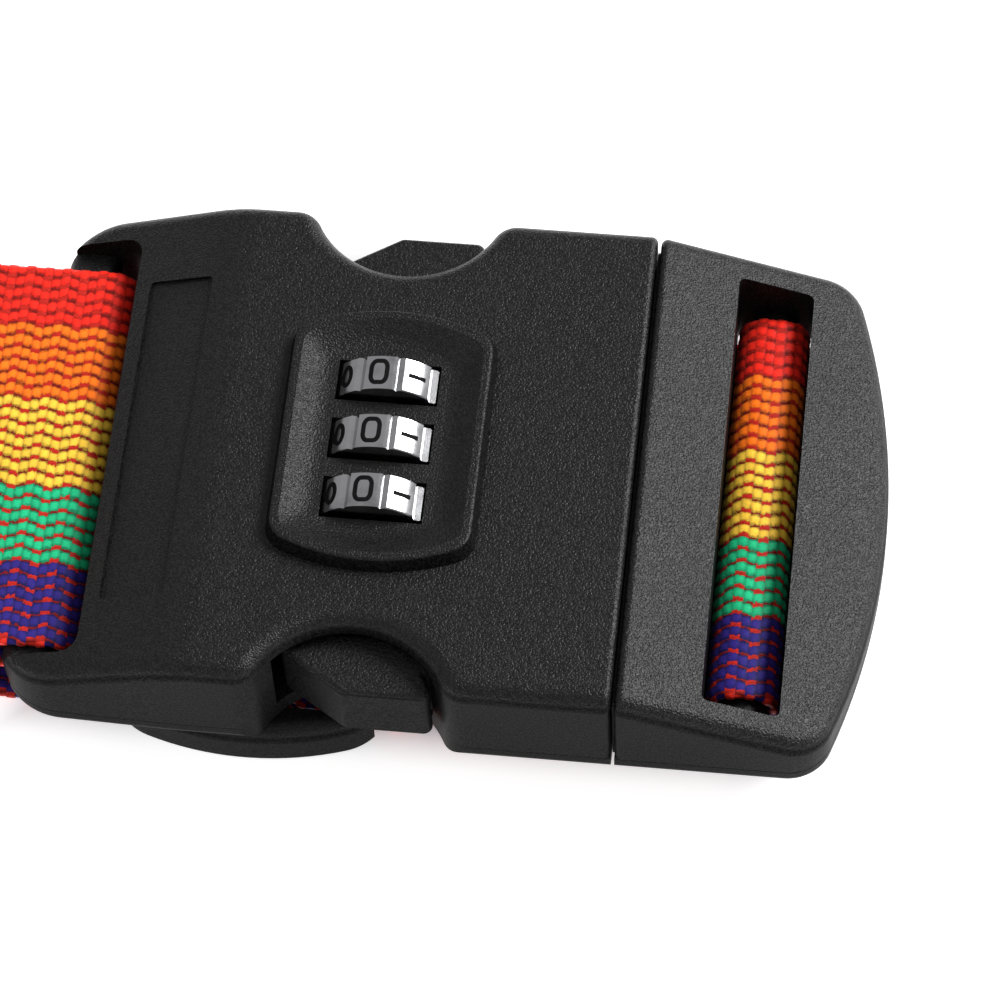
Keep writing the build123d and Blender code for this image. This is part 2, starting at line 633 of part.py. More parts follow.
with BuildPart() as male_cover:
    with BuildSketch(Plane.XY.offset(PARTING_Z)):
        add(head_outline())
    extrude(amount=TOP_Z - PARTING_Z)
    with BuildSketch(Plane.XZ):
        with BuildLine():
            Polyline(
                (HEAD_X, TOP_Z),
                (HEAD_END_X + 1, head_z(HEAD_END_X + 1)),
                (HEAD_END_X + 1, TOP_Z + 1),
                (HEAD_X, TOP_Z + 1),
                close=True,
            )
        make_face()
    extrude(amount=HALF_WIDTH + 1, both=True, mode=Mode.SUBTRACT)
    slope_rim = faces().sort_by(Axis.Z)[-1].edges()
    fillet(slope_rim.filter_by(lambda e: e.center().X > HEAD_X + 0.5), HEAD_EDGE_R)
    front_rim = edges().filter_by(lambda e: abs(e.center().X - HEAD_X) < 0.01)
    fillet(front_rim.filter_by(lambda e: e.center().Z > PARTING_Z + 0.1), MOUTH_EDGE_R)
    # Slot for the webbing, with a softened rim
    with BuildSketch(Plane.XY.offset(PARTING_Z)):
        with Locations(((HEAD_SLOT_FROM + HEAD_SLOT_TO) / 2, 0)):
            RectangleRounded(HEAD_SLOT_TO - HEAD_SLOT_FROM, 2 * HEAD_SLOT_HALF, 0.8)
    extrude(amount=TOP_Z, mode=Mode.SUBTRACT)
    # Hollow for the arms' roots, open below
    with BuildSketch(Plane.XZ):
        with BuildLine():
            Polyline(
                (HEAD_X + HEAD_WALL, PARTING_Z),
                (HEAD_CAVITY_TO, PARTING_Z),
                (HEAD_CAVITY_TO, head_z(HEAD_CAVITY_TO) - HEAD_ROOF),
                (HEAD_X + HEAD_WALL, head_z(HEAD_X + HEAD_WALL) - HEAD_ROOF),
                close=True,
            )
        make_face()
    extrude(amount=HALF_WIDTH - HEAD_WALL, both=True, mode=Mode.SUBTRACT)
    # Windows in the front wall for the arms
    with BuildSketch(Plane.YZ.offset(HEAD_X - 1)):
        for side in (1, -1):
            with Locations((side * (ARM_IN + ARM_OUT) / 2, (ARM_LOW_Z + ARM_HIGH_Z) / 2)):
                Rectangle(
                    ARM_OUT - ARM_IN + 2 * ARM_WINDOW_GAP,
                    ARM_HIGH_Z - ARM_LOW_Z + 2 * ARM_WINDOW_GAP,
                )
    extrude(amount=HEAD_WALL + 1.5, mode=Mode.SUBTRACT)
    # Guide tongue that goes into the socket
    with BuildSketch(Plane.XY.offset(ARM_LOW_Z)) as tongue:
        with Locations((HEAD_X + HEAD_WALL / 2, 0)):
            Rectangle(
                TONGUE_REACH + HEAD_WALL / 2, 2 * TONGUE_HALF, align=(Align.MAX, Align.CENTER)
            )
        fillet(tongue.vertices().group_by(Axis.X)[0], 3.0)
        with Locations((MOUTH_X - TONGUE_REACH / 2, 0)):
            RectangleRounded(TONGUE_REACH - 6.0, 2 * TONGUE_HALF - 4.0, 1.0, mode=Mode.SUBTRACT)
    extrude(amount=TONGUE_HEIGHT)
    # Screw posts
    with BuildSketch(Plane.XY.offset(PARTING_Z)):
        with Locations(HEAD_POSTS):
            Circle(POST_R)
    extrude(until=Until.NEXT)
    with BuildSketch(Plane.XY.offset(PARTING_Z)):
        with Locations(HEAD_POSTS):
            Circle(SCREW_R)
    extrude(amount=SCREW_LENGTH, mode=Mode.SUBTRACT)
male_cover.part.label = "male_cover"
export_step(male_cover.part, "parts/male_cover.step")

with BuildPart() as male_base:
    with BuildSketch(Plane.XY.offset(BOTTOM_Z)):
        add(head_outline())
    extrude(amount=PARTING_Z - BOTTOM_Z)
    low_rim = edges().group_by(Axis.Z)[0]
    fillet(low_rim.filter_by(lambda e: e.center().X > HEAD_X + 0.5), LOW_EDGE_R)
    high_rim = edges().group_by(Axis.Z)[-1]
    chamfer(high_rim.filter_by(lambda e: e.center().X > HEAD_X + 0.5), PARTING_GROOVE)
    with BuildSketch(Plane.XY):
        with Locations(((HEAD_SLOT_FROM + HEAD_SLOT_TO) / 2, 0)):
            RectangleRounded(HEAD_SLOT_TO - HEAD_SLOT_FROM, 2 * HEAD_SLOT_HALF, 0.8)
    extrude(amount=TOP_Z, mode=Mode.SUBTRACT)
    # Crowned bar across the slot, which the webbing goes over
    with BuildSketch(Plane.XZ) as bar_side:
        with BuildLine():
            Polyline(
                (HEAD_BAR_FROM, HEAD_BAR_Z - HEAD_BAR_SHOULDER),
                (HEAD_BAR_FROM, BOTTOM_Z),
                (HEAD_BAR_TO, BOTTOM_Z),
                (HEAD_BAR_TO, HEAD_BAR_Z - HEAD_BAR_SHOULDER),
            )
            ThreePointArc(
                (HEAD_BAR_TO, HEAD_BAR_Z - HEAD_BAR_SHOULDER),
                ((HEAD_BAR_FROM + HEAD_BAR_TO) / 2, HEAD_BAR_Z),
                (HEAD_BAR_FROM, HEAD_BAR_Z - HEAD_BAR_SHOULDER),
            )
        make_face()
        fillet(bar_side.vertices(), 0.8)
    extrude(amount=HEAD_SLOT_HALF, both=True)
    # Posts that the arms turn on
    with BuildSketch(Plane.XY.offset(PARTING_Z)):
        with Locations((PIVOT_X, PIVOT_Y), (PIVOT_X, -PIVOT_Y)):
            Circle(PIVOT_R)
    extrude(amount=ARM_HIGH_Z - PARTING_Z - 0.5)
    with BuildSketch(Plane.XY):
        with Locations(HEAD_POSTS):
            Circle(SCREW_R)
    extrude(amount=TOP_Z, mode=Mode.SUBTRACT)
    with BuildSketch(Plane.XY.offset(BOTTOM_Z)):
        with Locations(HEAD_POSTS):
            Circle(SCREW_HEAD_R + 0.3)
    extrude(amount=SCREW_HEAD_DEPTH, mode=Mode.SUBTRACT)
male_base.part.label = "male_base"
export_step(male_base.part, "parts/male_base.step")

for name, side in (("near", -1), ("far", 1)):
    with BuildPart() as arm:
        with BuildSketch(Plane.XY.offset(ARM_LOW_Z)) as arm_plan:
            with BuildLine():
                Polyline(
                    (PIVOT_X, side * ARM_OUT),
                    (CATCH_X - CATCH_SLANT, side * ARM_OUT),
                    (CATCH_X, side * TAB_OUT),
                    (TAB_KNEE_X, side * TAB_OUT),
                    (TAB_TIP_X, side * TAB_TIP_Y),
                    (TAB_TIP_X + 2.5, side * TAB_IN),
                    (CATCH_X - 2.0, side * TAB_IN),
                    (CATCH_X + 2.0, side * ARM_IN),
                    (PIVOT_X, side * ARM_IN),
                    close=True,
                )
            make_face()
            blunt = arm_plan.vertices().filter_by(lambda v: v.X < CATCH_X + 2.5)
            fillet(blunt.filter_by(lambda v: abs(abs(v.Y) - ARM_OUT) > 0.1), TAB_CORNER_R)
            with Locations((PIVOT_X, side * PIVOT_Y)):
                Circle(ARM_ROOT_R)
                Circle(PIVOT_R + RUNNING_GAP, mode=Mode.SUBTRACT)
        extrude(amount=ARM_HIGH_Z - ARM_LOW_Z)
        tab_rim = edges().group_by(Axis.Z)[-1].filter_by(lambda e: e.center().X < CATCH_X - 1)
        fillet(tab_rim.filter_by(lambda e: abs(e.center().Y) > TAB_IN + 0.5), TAB_EDGE_R)
    arm.part.label = f"release_arm_{name}"
    export_step(arm.part, f"parts/release_arm_{name}.step")

# Screws with a cross recess, which go up from the bottom of each half
for name, places in (("socket_screws", SOCKET_POSTS), ("male_screws", HEAD_POSTS)):
    with BuildPart() as screws:
        with BuildSketch(Plane.XY.offset(BOTTOM_Z + SCREW_SINK)):
            with Locations(places):
                Circle(SCREW_HEAD_R)
        extrude(amount=SCREW_HEAD_DEPTH - SCREW_SINK)
        with BuildSketch(Plane.XY.offset(BOTTOM_Z + SCREW_SINK)):
            with Locations(places):
                Rectangle(CROSS_LENGTH, CROSS_WIDTH)
                Rectangle(CROSS_WIDTH, CROSS_LENGTH)
        extrude(amount=CROSS_DEPTH, mode=Mode.SUBTRACT)
        with BuildSketch(Plane.XY.offset(BOTTOM_Z + SCREW_HEAD_DEPTH)):
            with Locations(places):
                Circle(SCREW_R)
        extrude(amount=SCREW_LENGTH)
    screws.part.label = name
    export_step(screws.part, f"parts/{name}.step")

# ---------------------------------------------------------------- slider

with BuildPart() as slider_frame:
    with BuildSketch() as frame_plan:
        with BuildLine():
            Line((SLIDER_RIGHT, -SLIDER_SIDE_HALF), (SLIDER_RIGHT, SLIDER_SIDE_HALF))
            ThreePointArc(
                (SLIDER_RIGHT, SLIDER_SIDE_HALF),
                (SLIDER_X, SLIDER_END_HALF),
                (SLIDER_LEFT, SLIDER_SIDE_HALF),
            )
            Line((SLIDER_LEFT, SLIDER_SIDE_HALF), (SLIDER_LEFT, -SLIDER_SIDE_HALF))
            ThreePointArc(
                (SLIDER_LEFT, -SLIDER_SIDE_HALF),
                (SLIDER_X, -SLIDER_END_HALF),
                (SLIDER_RIGHT, -SLIDER_SIDE_HALF),
            )
        make_face()
        fillet(frame_plan.vertices(), SLIDER_CORNER_R)
    extrude(amount=SLIDER_HEIGHT)
    fillet(edges().group_by(Axis.Z)[-1], SLIDER_EDGE_R)
    fillet(edges().group_by(Axis.Z)[0], 0.8)
    # Room for the webbing below the two rims and over the middle bar
    with BuildSketch():
        with Locations((SLIDER_X, 0)):
            Rectangle(2 * SLIDER_WIDTH, 2 * SLIDER_INSIDE_HALF)
    extrude(amount=RIM_LOW_Z, mode=Mode.SUBTRACT)
    with BuildSketch():
        with Locations((SLIDER_X, 0)):
            RectangleRounded(SLIDER_WIDTH - 2 * SLIDER_RIM, 2 * SLIDER_INSIDE_HALF, 0.6)
    extrude(amount=SLIDER_HEIGHT, mode=Mode.SUBTRACT)
    with BuildSketch(Plane.XZ):
        with Locations((SLIDER_X, (CENTRE_LOW_Z + CENTRE_HIGH_Z) / 2)):
            RectangleRounded(SLIDER_BAR, CENTRE_HIGH_Z - CENTRE_LOW_Z, 0.7)
    extrude(amount=SLIDER_INSIDE_HALF + 0.6, both=True)
slider_frame.part.label = "slider_frame"
export_step(slider_frame.part, "parts/slider_frame.step")

# ---------------------------------------------------------------- webbing

# Round the socket's bar: the short end comes back below the bar and is sewn on from below.
bar_right = SLOT_RIGHT - WEB / 2 - 0.3
bar_under = BAR_LOW_Z - WEB / 2 - 0.05
sewn_knee = SEWN_TO - 2.0
sewn_slope = SEWN_DROP / (sewn_knee - SEWN_FROM)
SOCKET_LOOP = [
    (TAIL_X, UPPER_Z - WEB_PITCH - sewn_slope * (sewn_knee - TAIL_X)),
    (sewn_knee, UPPER_Z - WEB_PITCH),
    (SEWN_TO, UPPER_Z - WEB_PITCH),
    (SOCKET_LEFT - 0.5, bar_under),
    (bar_right, bar_under),
    (bar_right, UPPER_Z),
    (SEWN_TO, UPPER_Z),
]
UPPER_RUN = [
    (SEWN_TO, UPPER_Z),
    (sewn_knee, UPPER_Z),
    (SEWN_FROM, UPPER_Z - SEWN_DROP),
    (HANK_RIGHT + 12.0, LAYER_Z + 1.5 * WEB_PITCH + 0.6),
    (HANK_RIGHT, LAYER_Z + WEB_PITCH),
]
LOWER_RUN = [(HANK_RIGHT, LAYER_Z), (SLIDER_LEFT - 2.0, LAYER_Z)]
middle_left = SLIDER_X - SLIDER_BAR / 2 - WEB / 2
middle_right = SLIDER_X + SLIDER_BAR / 2 + WEB / 2
sewn_over = CENTRE_HIGH_Z + WEB / 2 + 0.05
running_over = sewn_over + WEB + 0.05
tail_z = LAYER_Z
fixed_z = tail_z + WEB_PITCH
running_z = fixed_z + WEB_PITCH
SLIDER_RUN = [
    (SLIDER_LEFT - 2.0, LAYER_Z),
    (middle_left - 1.9, LAYER_Z),
    (middle_left - 1.45, running_over),
    (middle_right + 0.9, running_over),
    (middle_right + 2.4, running_z),
    (SLIDER_RIGHT, running_z),
    (SPLICE_X, running_z + SPLICE_RISE),
]
SLIDER_END = [
    (SPLICE_X, fixed_z + SPLICE_RISE),
    (SLIDER_RIGHT, fixed_z),
    (middle_right + 1.6, fixed_z),
    (middle_right + 0.1, sewn_over),
    (middle_left - 0.05, sewn_over),
    (middle_left - 0.05, tail_z),
    (SLIDER_RIGHT + 3.0, tail_z),
]
head_under = BOTTOM_Z - LAYER_Z - 0.1
slot_left = HEAD_SLOT_FROM + WEB / 2 + 0.1
slot_right = HEAD_SLOT_TO - WEB / 2 - 0.1
over_bar = HEAD_BAR_Z + WEB / 2 + 0.05
MALE_LOOP = [
    (SPLICE_X, fixed_z + SPLICE_RISE),
    (MOUTH_X - 2.0, head_under - WEB_PITCH),
    (HEAD_BAR_FROM - 0.1, head_under - WEB_PITCH),
    (HEAD_BAR_FROM + 2.4, head_under),
    (slot_right, head_under),
    (slot_right, over_bar - 1.3),
    ((HEAD_BAR_FROM + HEAD_BAR_TO) / 2 + 1.6, over_bar + 0.1),
    ((HEAD_BAR_FROM + HEAD_BAR_TO) / 2 - 1.6, over_bar + 0.1),
    (slot_left, over_bar - 1.3),
    (slot_left, head_under),
    (MOUTH_X - 2.0, head_under),
    (SPLICE_X, running_z + SPLICE_RISE),
]
WEB_ROUTES = {
    "web_socket_loop": (SOCKET_LOOP, 2.2),
    "web_upper_run": (UPPER_RUN, 8.0),
    "web_lower_run": (LOWER_RUN, 0),
    "web_slider_run": (SLIDER_RUN, 0.7),
    "web_slider_end": (SLIDER_END, 0.66),
    "web_male_loop": (MALE_LOOP, 0.7),
}
for name, (points, bend) in WEB_ROUTES.items():
    far_edge = WEB_WIDTH / 2 + WEB_DRIFT.get(name, 0)
    with BuildPart() as web:
        with BuildSketch(Plane.XZ.offset(-far_edge)):
            add(web_band(points, bend))
        extrude(amount=WEB_WIDTH)
    web.part.label = name
    export_step(web.part, f"parts/{name}.step")

with BuildPart() as web_hank:
    with BuildSketch(Plane.XZ):
        with Locations(((HANK_LEFT + HANK_RIGHT) / 2, HANK_HEIGHT / 2)):
            RectangleRounded(HANK_RIGHT - HANK_LEFT, HANK_HEIGHT, HANK_END_R)
    extrude(amount=WEB_WIDTH / 2, both=True)
    # Waist where the storage band presses
    with BuildSketch(Plane.YZ.offset(BAND_X - BAND_WIDTH / 2 - 0.2)):
        with Locations((0, HANK_HEIGHT / 2)):
            Rectangle(2 * WEB_WIDTH, 2 * HANK_HEIGHT)
            Rectangle(WEB_WIDTH - 0.6, HANK_HEIGHT - 2 * BAND_THICK - 0.2, mode=Mode.SUBTRACT)
    extrude(amount=BAND_WIDTH + 0.4, mode=Mode.SUBTRACT)
web_hank.part.label = "web_hank"
export_step(web_hank.part, "parts/web_hank.step")

with BuildPart() as storage_band:
    with BuildSketch(Plane.YZ.offset(BAND_X - BAND_WIDTH / 2)):
        with Locations((0, HANK_HEIGHT / 2)):
            RectangleRounded(WEB_WIDTH - 0.4 + 2 * BAND_THICK, HANK_HEIGHT - 0.1, 1.4)
            Rectangle(
                WEB_WIDTH - 0.4, HANK_HEIGHT - 0.1 - 2 * BAND_THICK, mode=Mode.SUBTRACT
            )
    extrude(amount=BAND_WIDTH)
storage_band.part.label = "storage_band"
export_step(storage_band.part, "parts/storage_band.step")
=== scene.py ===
"""Looks of the luggage strap: rainbow webbing, black moulded buckle, three-dial lock."""

import math

import bpy
import numpy as np
from mathutils import Matrix, Vector


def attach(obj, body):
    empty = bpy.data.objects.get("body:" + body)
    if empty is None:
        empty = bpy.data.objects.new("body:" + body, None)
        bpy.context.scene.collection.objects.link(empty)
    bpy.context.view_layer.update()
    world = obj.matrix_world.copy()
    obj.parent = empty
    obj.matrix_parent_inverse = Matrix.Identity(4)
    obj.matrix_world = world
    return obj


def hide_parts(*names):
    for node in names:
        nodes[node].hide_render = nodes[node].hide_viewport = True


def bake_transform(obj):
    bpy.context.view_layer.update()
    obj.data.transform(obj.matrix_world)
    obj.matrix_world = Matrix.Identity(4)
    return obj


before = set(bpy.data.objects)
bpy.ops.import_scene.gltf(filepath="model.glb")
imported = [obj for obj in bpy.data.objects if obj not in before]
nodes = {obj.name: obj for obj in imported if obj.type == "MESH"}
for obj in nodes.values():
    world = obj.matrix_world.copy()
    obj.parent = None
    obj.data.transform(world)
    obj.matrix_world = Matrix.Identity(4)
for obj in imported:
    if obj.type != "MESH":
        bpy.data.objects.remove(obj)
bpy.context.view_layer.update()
scene = bpy.context.scene

MM = 0.001

# ------------------------------------------------------------------ places, in millimetres

MOUTH_X = 113.0
SOCKET_LEFT = MOUTH_X - 67.4

# Dials; turns in degrees
DIAL_X = MOUTH_X - 27.75
DIAL_Z = 17.0
DIAL_R = 6.9
DIAL_PITCH = 7.4
DIAL_REST_TURN = 7.6
FACE_TURN = 36.0

# Webbing, and what it runs round: the socket's bar, the slider and the male head's bar
WEB = 1.3
WEB_PITCH = 1.4
WEB_WIDTH = 48.0
SLOT_RIGHT = SOCKET_LEFT + 9.5
BAR_LOW_Z = 9.4
BAR_HIGH_Z = 13.3
SEWN_FROM = SOCKET_LEFT - 26.0
SEWN_TO = SOCKET_LEFT - 11.0
SEWN_DROP = 2.0
SLIDER_LEFT = MOUTH_X - 56.0
SLIDER_RIGHT = SLIDER_LEFT + 31.0
SLIDER_X = (SLIDER_LEFT + SLIDER_RIGHT) / 2
SLIDER_BAR = 6.0
SLIDER_BAR_TOP = 3.2
SPLICE_X = MOUTH_X - 20.0
SPLICE_RISE = 0.25
HEAD_BAR_FROM = MOUTH_X + 11.05
HEAD_BAR_TO = MOUTH_X + 16.15
HEAD_BAR_Z = 10.8
HEAD_SLOT_FROM = MOUTH_X + 9.4
HEAD_SLOT_TO = MOUTH_X + 17.8
BOTTOM_Z = 6.5

# Bends of the strap, by radius at its centre line, and its distance from what it lies on
BEND_R = 0.7
LOOP_R = 2.6
LOOP_LOW_R = 1.25
LOOP_HIGH_R = 4.0
RUN_R = 8.0
ARCH_R = 6.0
ARCH_SHOULDER = 1.3
CONTACT = 0.05
LOOP_SPARE = 0.25
SLOT_SPARE = 0.1

# Folded spare webbing, and the storage band that presses it and narrows it by the share WAIST
HANK_RIGHT = MOUTH_X - 118.0
HANK_LEFT = -(MOUTH_X + 27.8)
HANK_LEVELS = 12
HANK_HEIGHT = HANK_LEVELS * WEB_PITCH
FOLD_REACH = 1.5 * WEB_PITCH + WEB / 2
BAND_X = (HANK_LEFT + HANK_RIGHT) / 2
BAND_WIDTH = 8.0
BAND_THICK = 0.9
BAND_SPARE = 0.1
BAND_CORNER_R = 1.2
BAND_CORNER_STEPS = 8
BAND_PATH_STEP = 0.4
RIB_HEIGHT = 0.10
BAND_EASE = 7.0
WAIST = 0.035
SEAM_INSET = 4.0

# Weave: columns along the strap, rows of yarn across it. Rows step by column, partly as a smooth zigzag
COLUMN = 1.03
ROW = 1.6
CELLS_PER_ROW = 4
YARN_DEPTH = 0.32
STEP_COLUMNS = 2.0
ZIGZAG = 0.45
STAGGER = 0.55
COLUMN_STATIONS = (0.1, 0.5, 0.9)
FINE_SPACING = 0.6
SELVAGE = 1.2
SELVAGE_BULGE = 0.10

# Stitches
STITCH_LENGTH = 2.2
STITCH_PITCH = 2.9
STITCH_R = 0.24
STITCH_BOX_HALF = 19.5

# Lip in the mouth
LIP_OUT_X = MOUTH_X + 0.12
LIP_IN_X = MOUTH_X + 0.6
LIP_HALF = 28.6
LIP_LOW_Z = 7.2
LIP_HIGH_Z = 19.2
LIP_SIDE = 2.0
LIP_EDGE = 0.9
LIP_CORNER_R = 0.8
LIP_CORNER_STEPS = 8

# Springs behind the plungers
SPRING_X = MOUTH_X - 16.6
SPRING_Z = 11.9
SPRING_R = 1.1
SPRING_WIRE_R = 0.175
SPRING_TURNS = 5
SPRING_STEPS_PER_TURN = 28
SPRING_SIDES = 10
SPRING_FROM = 11.8
SPRING_TO = 16.4

# ------------------------------------------------------------------ camera

CAMERA_AIM = Vector((MOUTH_X - 14.07, -5.95, 21.0)) * MM
CAMERA_AZIMUTH = math.radians(9.0)
CAMERA_ELEVATION = math.radians(60.1)
CAMERA_ROLL = math.radians(-3.5)
CAMERA_DISTANCE = 0.5065
CAMERA_LENS = 168.8
CAMERA_SENSOR = 36.0
CAMERA_NEAR = 0.01

camera_data = bpy.data.cameras.new("camera")
camera_data.lens = CAMERA_LENS
camera_data.sensor_width = CAMERA_SENSOR
camera_data.clip_start = CAMERA_NEAR
camera = bpy.data.objects.new("camera", camera_data)
scene.collection.objects.link(camera)
back = Vector(
    (
        math.sin(CAMERA_AZIMUTH) * math.cos(CAMERA_ELEVATION),
        -math.cos(CAMERA_AZIMUTH) * math.cos(CAMERA_ELEVATION),
        math.sin(CAMERA_ELEVATION),
    )
)
turn = back.to_track_quat("Z", "Y").to_matrix() @ Matrix.Rotation(CAMERA_ROLL, 3, "Z")
camera.matrix_world = Matrix.Translation(CAMERA_AIM + back * CAMERA_DISTANCE) @ turn.to_4x4()
scene.camera = camera


# ------------------------------------------------------------------ helpers


def new_mesh(name, verts, faces, smooth=True):
    """A mesh object from points in millimetres."""
    data = bpy.data.meshes.new(name)
    data.from_pydata([tuple(v) for v in np.asarray(verts, float) * MM], [], faces)
    data.polygons.foreach_set("use_smooth", [smooth] * len(data.polygons))
    data.validate()
    obj = bpy.data.objects.new(name, data)
    scene.collection.objects.link(obj)
    return obj


def grid_faces(rows, cols, wrap_rows=False, wrap_cols=False, start=0, flip=False):
    """Quads of a grid of points stored row by row."""
    i = np.arange(rows if wrap_rows else rows - 1)[:, None]
    j = np.arange(cols if wrap_cols else cols - 1)[None, :]
    i2 = (i + 1) % rows
    j2 = (j + 1) % cols
    quad = [i * cols + j, i * cols + j2, i2 * cols + j2, i2 * cols + j]
    if flip:
        quad = quad[::-1]
    return (np.stack([np.broadcast_to(q, (len(i), j.shape[1])) for q in quad], -1) + start).reshape(-1, 4)


def smoothstep(a, b, x):
    """A smooth rise from 0 at a to 1 at b."""
    t = np.clip((x - a) / (b - a), 0, 1)
    return t * t * (3 - 2 * t)


# ------------------------------------------------------------------ shader helpers


# Sockets of a colour mix: the factor and the two colours, and the mixed colour
MIX_COLOUR_INPUTS = (0, 6, 7)
MIX_COLOUR_OUTPUT = 2


class Shader:
    """A short way to write a material's node network."""

    def __init__(self, name):
        self.material = bpy.data.materials.new(name)
        self.material.use_nodes = True
        self.tree = self.material.node_tree
        self.surface = self.tree.nodes["Principled BSDF"]

    def node(self, kind, **inputs):
        """A new node with its named inputs set or linked."""
        made = self.tree.nodes.new(kind)
        for key, value in inputs.items():
            self.put(made.inputs[key.replace("_", " ")], value)
        return made

    def put(self, socket, value):
        """Link a socket to an output, or give it a plain value."""
        if isinstance(value, bpy.types.NodeSocket):
            self.tree.links.new(value, socket)
        else:
            socket.default_value = value

    def math(self, operation, *values):
        made = self.tree.nodes.new("ShaderNodeMath")
        made.operation = operation
        for socket, value in zip(made.inputs, values):
            self.put(socket, value)
        return made.outputs[0]

    def scaled(self, vector, factors):
        made = self.tree.nodes.new("ShaderNodeVectorMath")
        made.operation = "MULTIPLY"
        self.put(made.inputs[0], vector)
        self.put(made.inputs[1], factors)
        return made.outputs[0]

    def step(self, value, low, high, out_low=0.0, out_high=1.0):
        """A smooth rise from out_low to out_high while value goes from low to high."""
        made = self.tree.nodes.new("ShaderNodeMapRange")
        made.interpolation_type = "SMOOTHSTEP"
        for socket, v in zip(made.inputs, (value, low, high, out_low, out_high)):
            self.put(socket, v)
        return made.outputs[0]

    def mix(self, factor, a, b):
        """A colour from a to b by the factor."""
        made = self.tree.nodes.new("ShaderNodeMix")
        made.data_type = "RGBA"
        for index, value in zip(MIX_COLOUR_INPUTS, (factor, a, b)):
            self.put(made.inputs[index], value)
        return made.outputs[MIX_COLOUR_OUTPUT]

    def noise(self, vector, scale, detail=2.0, rough=0.5):
        made = self.node("ShaderNodeTexNoise", Vector=vector, Scale=scale, Detail=detail, Roughness=rough)
        return made.outputs["Fac"]

    def object_place(self):
        return self.tree.nodes.new("ShaderNodeTexCoord").outputs["Object"]

    def bump(self, height, distance, strength=1.0, under=None):
        made = self.node("ShaderNodeBump", Height=height, Distance=distance, Strength=strength)
        if under is not None:
            self.put(made.inputs["Normal"], under)
        return made.outputs["Normal"]

    def set(self, **inputs):
        """Set or link inputs of the surface shader and give back the material."""
        for key, value in inputs.items():
            self.put(self.surface.inputs[key.replace("_", " ")], value)
        return self.material


WHITE = (1.0, 1.0, 1.0, 1.0)


def grey(v):
    """A neutral colour with a trace of blue."""
    return (v, v, v * 1.03, 1.0)


# ------------------------------------------------------------------ materials


# Noise scales of the moulded surface, and the IOR of its tops and walls
FINE_GRAIN = 4600.0
COARSE_GRAIN = 1500.0
CLOUD = 90.0
SCUFF = 420.0
TOP_IOR = 1.36
SIDE_IOR = 1.10


def moulded_black(name, tone, top_rough, side_rough, grain):
    """Spark-eroded black ABS: grainy where it faces up, smoother on the walls, with faint scuffs."""
    s = Shader(name)
    place = s.object_place()
    geometry = s.tree.nodes.new("ShaderNodeNewGeometry")
    up = s.node("ShaderNodeSeparateXYZ", Vector=geometry.outputs["Normal"])
    facing = s.step(s.math("ABSOLUTE", up.outputs[2]), 0.30, 0.72)
    fine = s.noise(place, FINE_GRAIN, 1.0, 0.5)
    coarse = s.noise(place, COARSE_GRAIN, 1.0, 0.5)
    pits = s.math("ADD", s.math("MULTIPLY", fine, 0.90), s.math("MULTIPLY", coarse, 0.15))
    soft = s.noise(place, CLOUD, 3.0, 0.6)
    depth = s.math("MULTIPLY", s.step(facing, 0.0, 1.0, 0.3, 1.0), pits)
    scuff = s.noise(s.scaled(place, (1.0, 5.0, 1.0)), SCUFF, 4.0, 0.7)
    scuffed = s.math("MULTIPLY", s.step(scuff, 0.66, 0.74), s.step(soft, 0.52, 0.66))
    worn = s.mix(s.math("MULTIPLY", scuffed, 0.35), grey(tone), grey(tone * 5.0))
    # Painted shade and light on the grain: darker in its pits and lighter where it stands up, by the same
    # noise as the bump
    pit_shade = s.mix(0.8, worn, grey(tone * 0.3))
    colour = s.mix(s.step(pits, 0.40, 0.70), pit_shade, s.mix(0.7, worn, grey(tone * 2.3)))
    rough = s.step(facing, 0.0, 1.0, side_rough, top_rough)
    rough = s.math("ADD", rough, s.math("MULTIPLY", s.math("SUBTRACT", soft, 0.5), 0.10))
    normal = s.bump(depth, grain * MM, 0.9)
    ior = s.step(facing, 0.0, 1.0, SIDE_IOR, TOP_IOR)
    return s.set(Base_Color=colour, Roughness=rough, Normal=normal, IOR=ior)


def metal(name, colour, rough, scratch, stretch=(1.0, 1.0, 1.0), grime=0.0):
    """Plated or bare metal with fine scratches and a trace of grime."""
    s = Shader(name)
    place = s.object_place()
    lines = s.noise(s.scaled(place, stretch), 900.0, 3.0, 0.6)
    cloud = s.noise(place, 260.0, 3.0, 0.6)
    tone = s.mix(s.math("MULTIPLY", s.step(cloud, 0.45, 0.8), grime), (*colour, 1.0), grey(0.12))
    roughness = s.math("ADD", rough, s.math("MULTIPLY", lines, scratch))
    normal = s.bump(lines, 0.004 * MM, 0.5)
    return s.set(Base_Color=tone, Metallic=1.0, Roughness=roughness, Normal=normal)


# Stripes from the near edge to the far edge: share of the width where each begins, and its colour
STRIPES = [
    (0.000, (0.024, 0.014, 0.175)),
    (0.210, (0.012, 0.440, 0.190)),
    (0.408, (0.860, 0.520, 0.045)),
    (0.625, (0.950, 0.170, 0.008)),
    (0.820, (0.880, 0.020, 0.009)),
]

# The red weft between the yarns: tones, half thickness as a share of a row, and how it wanders
WEFT_RED = (0.86, 0.030, 0.016, 1.0)
WEFT_SHADED = (0.30, 0.010, 0.008, 1.0)
WEFT_DEEP = (0.1, 0.0, 0.0, 1.0)
WEFT_HALF = 0.150
WEFT_THINNER = 0.080
WEFT_WANDER = 0.16
# Irregularity of the yarns: rows that sway, frayed edges, and their lightness
SWAY = 0.30
FRAY = 0.42
YARN_LIT = 1.16
SELVAGE_BOUND = 0.7


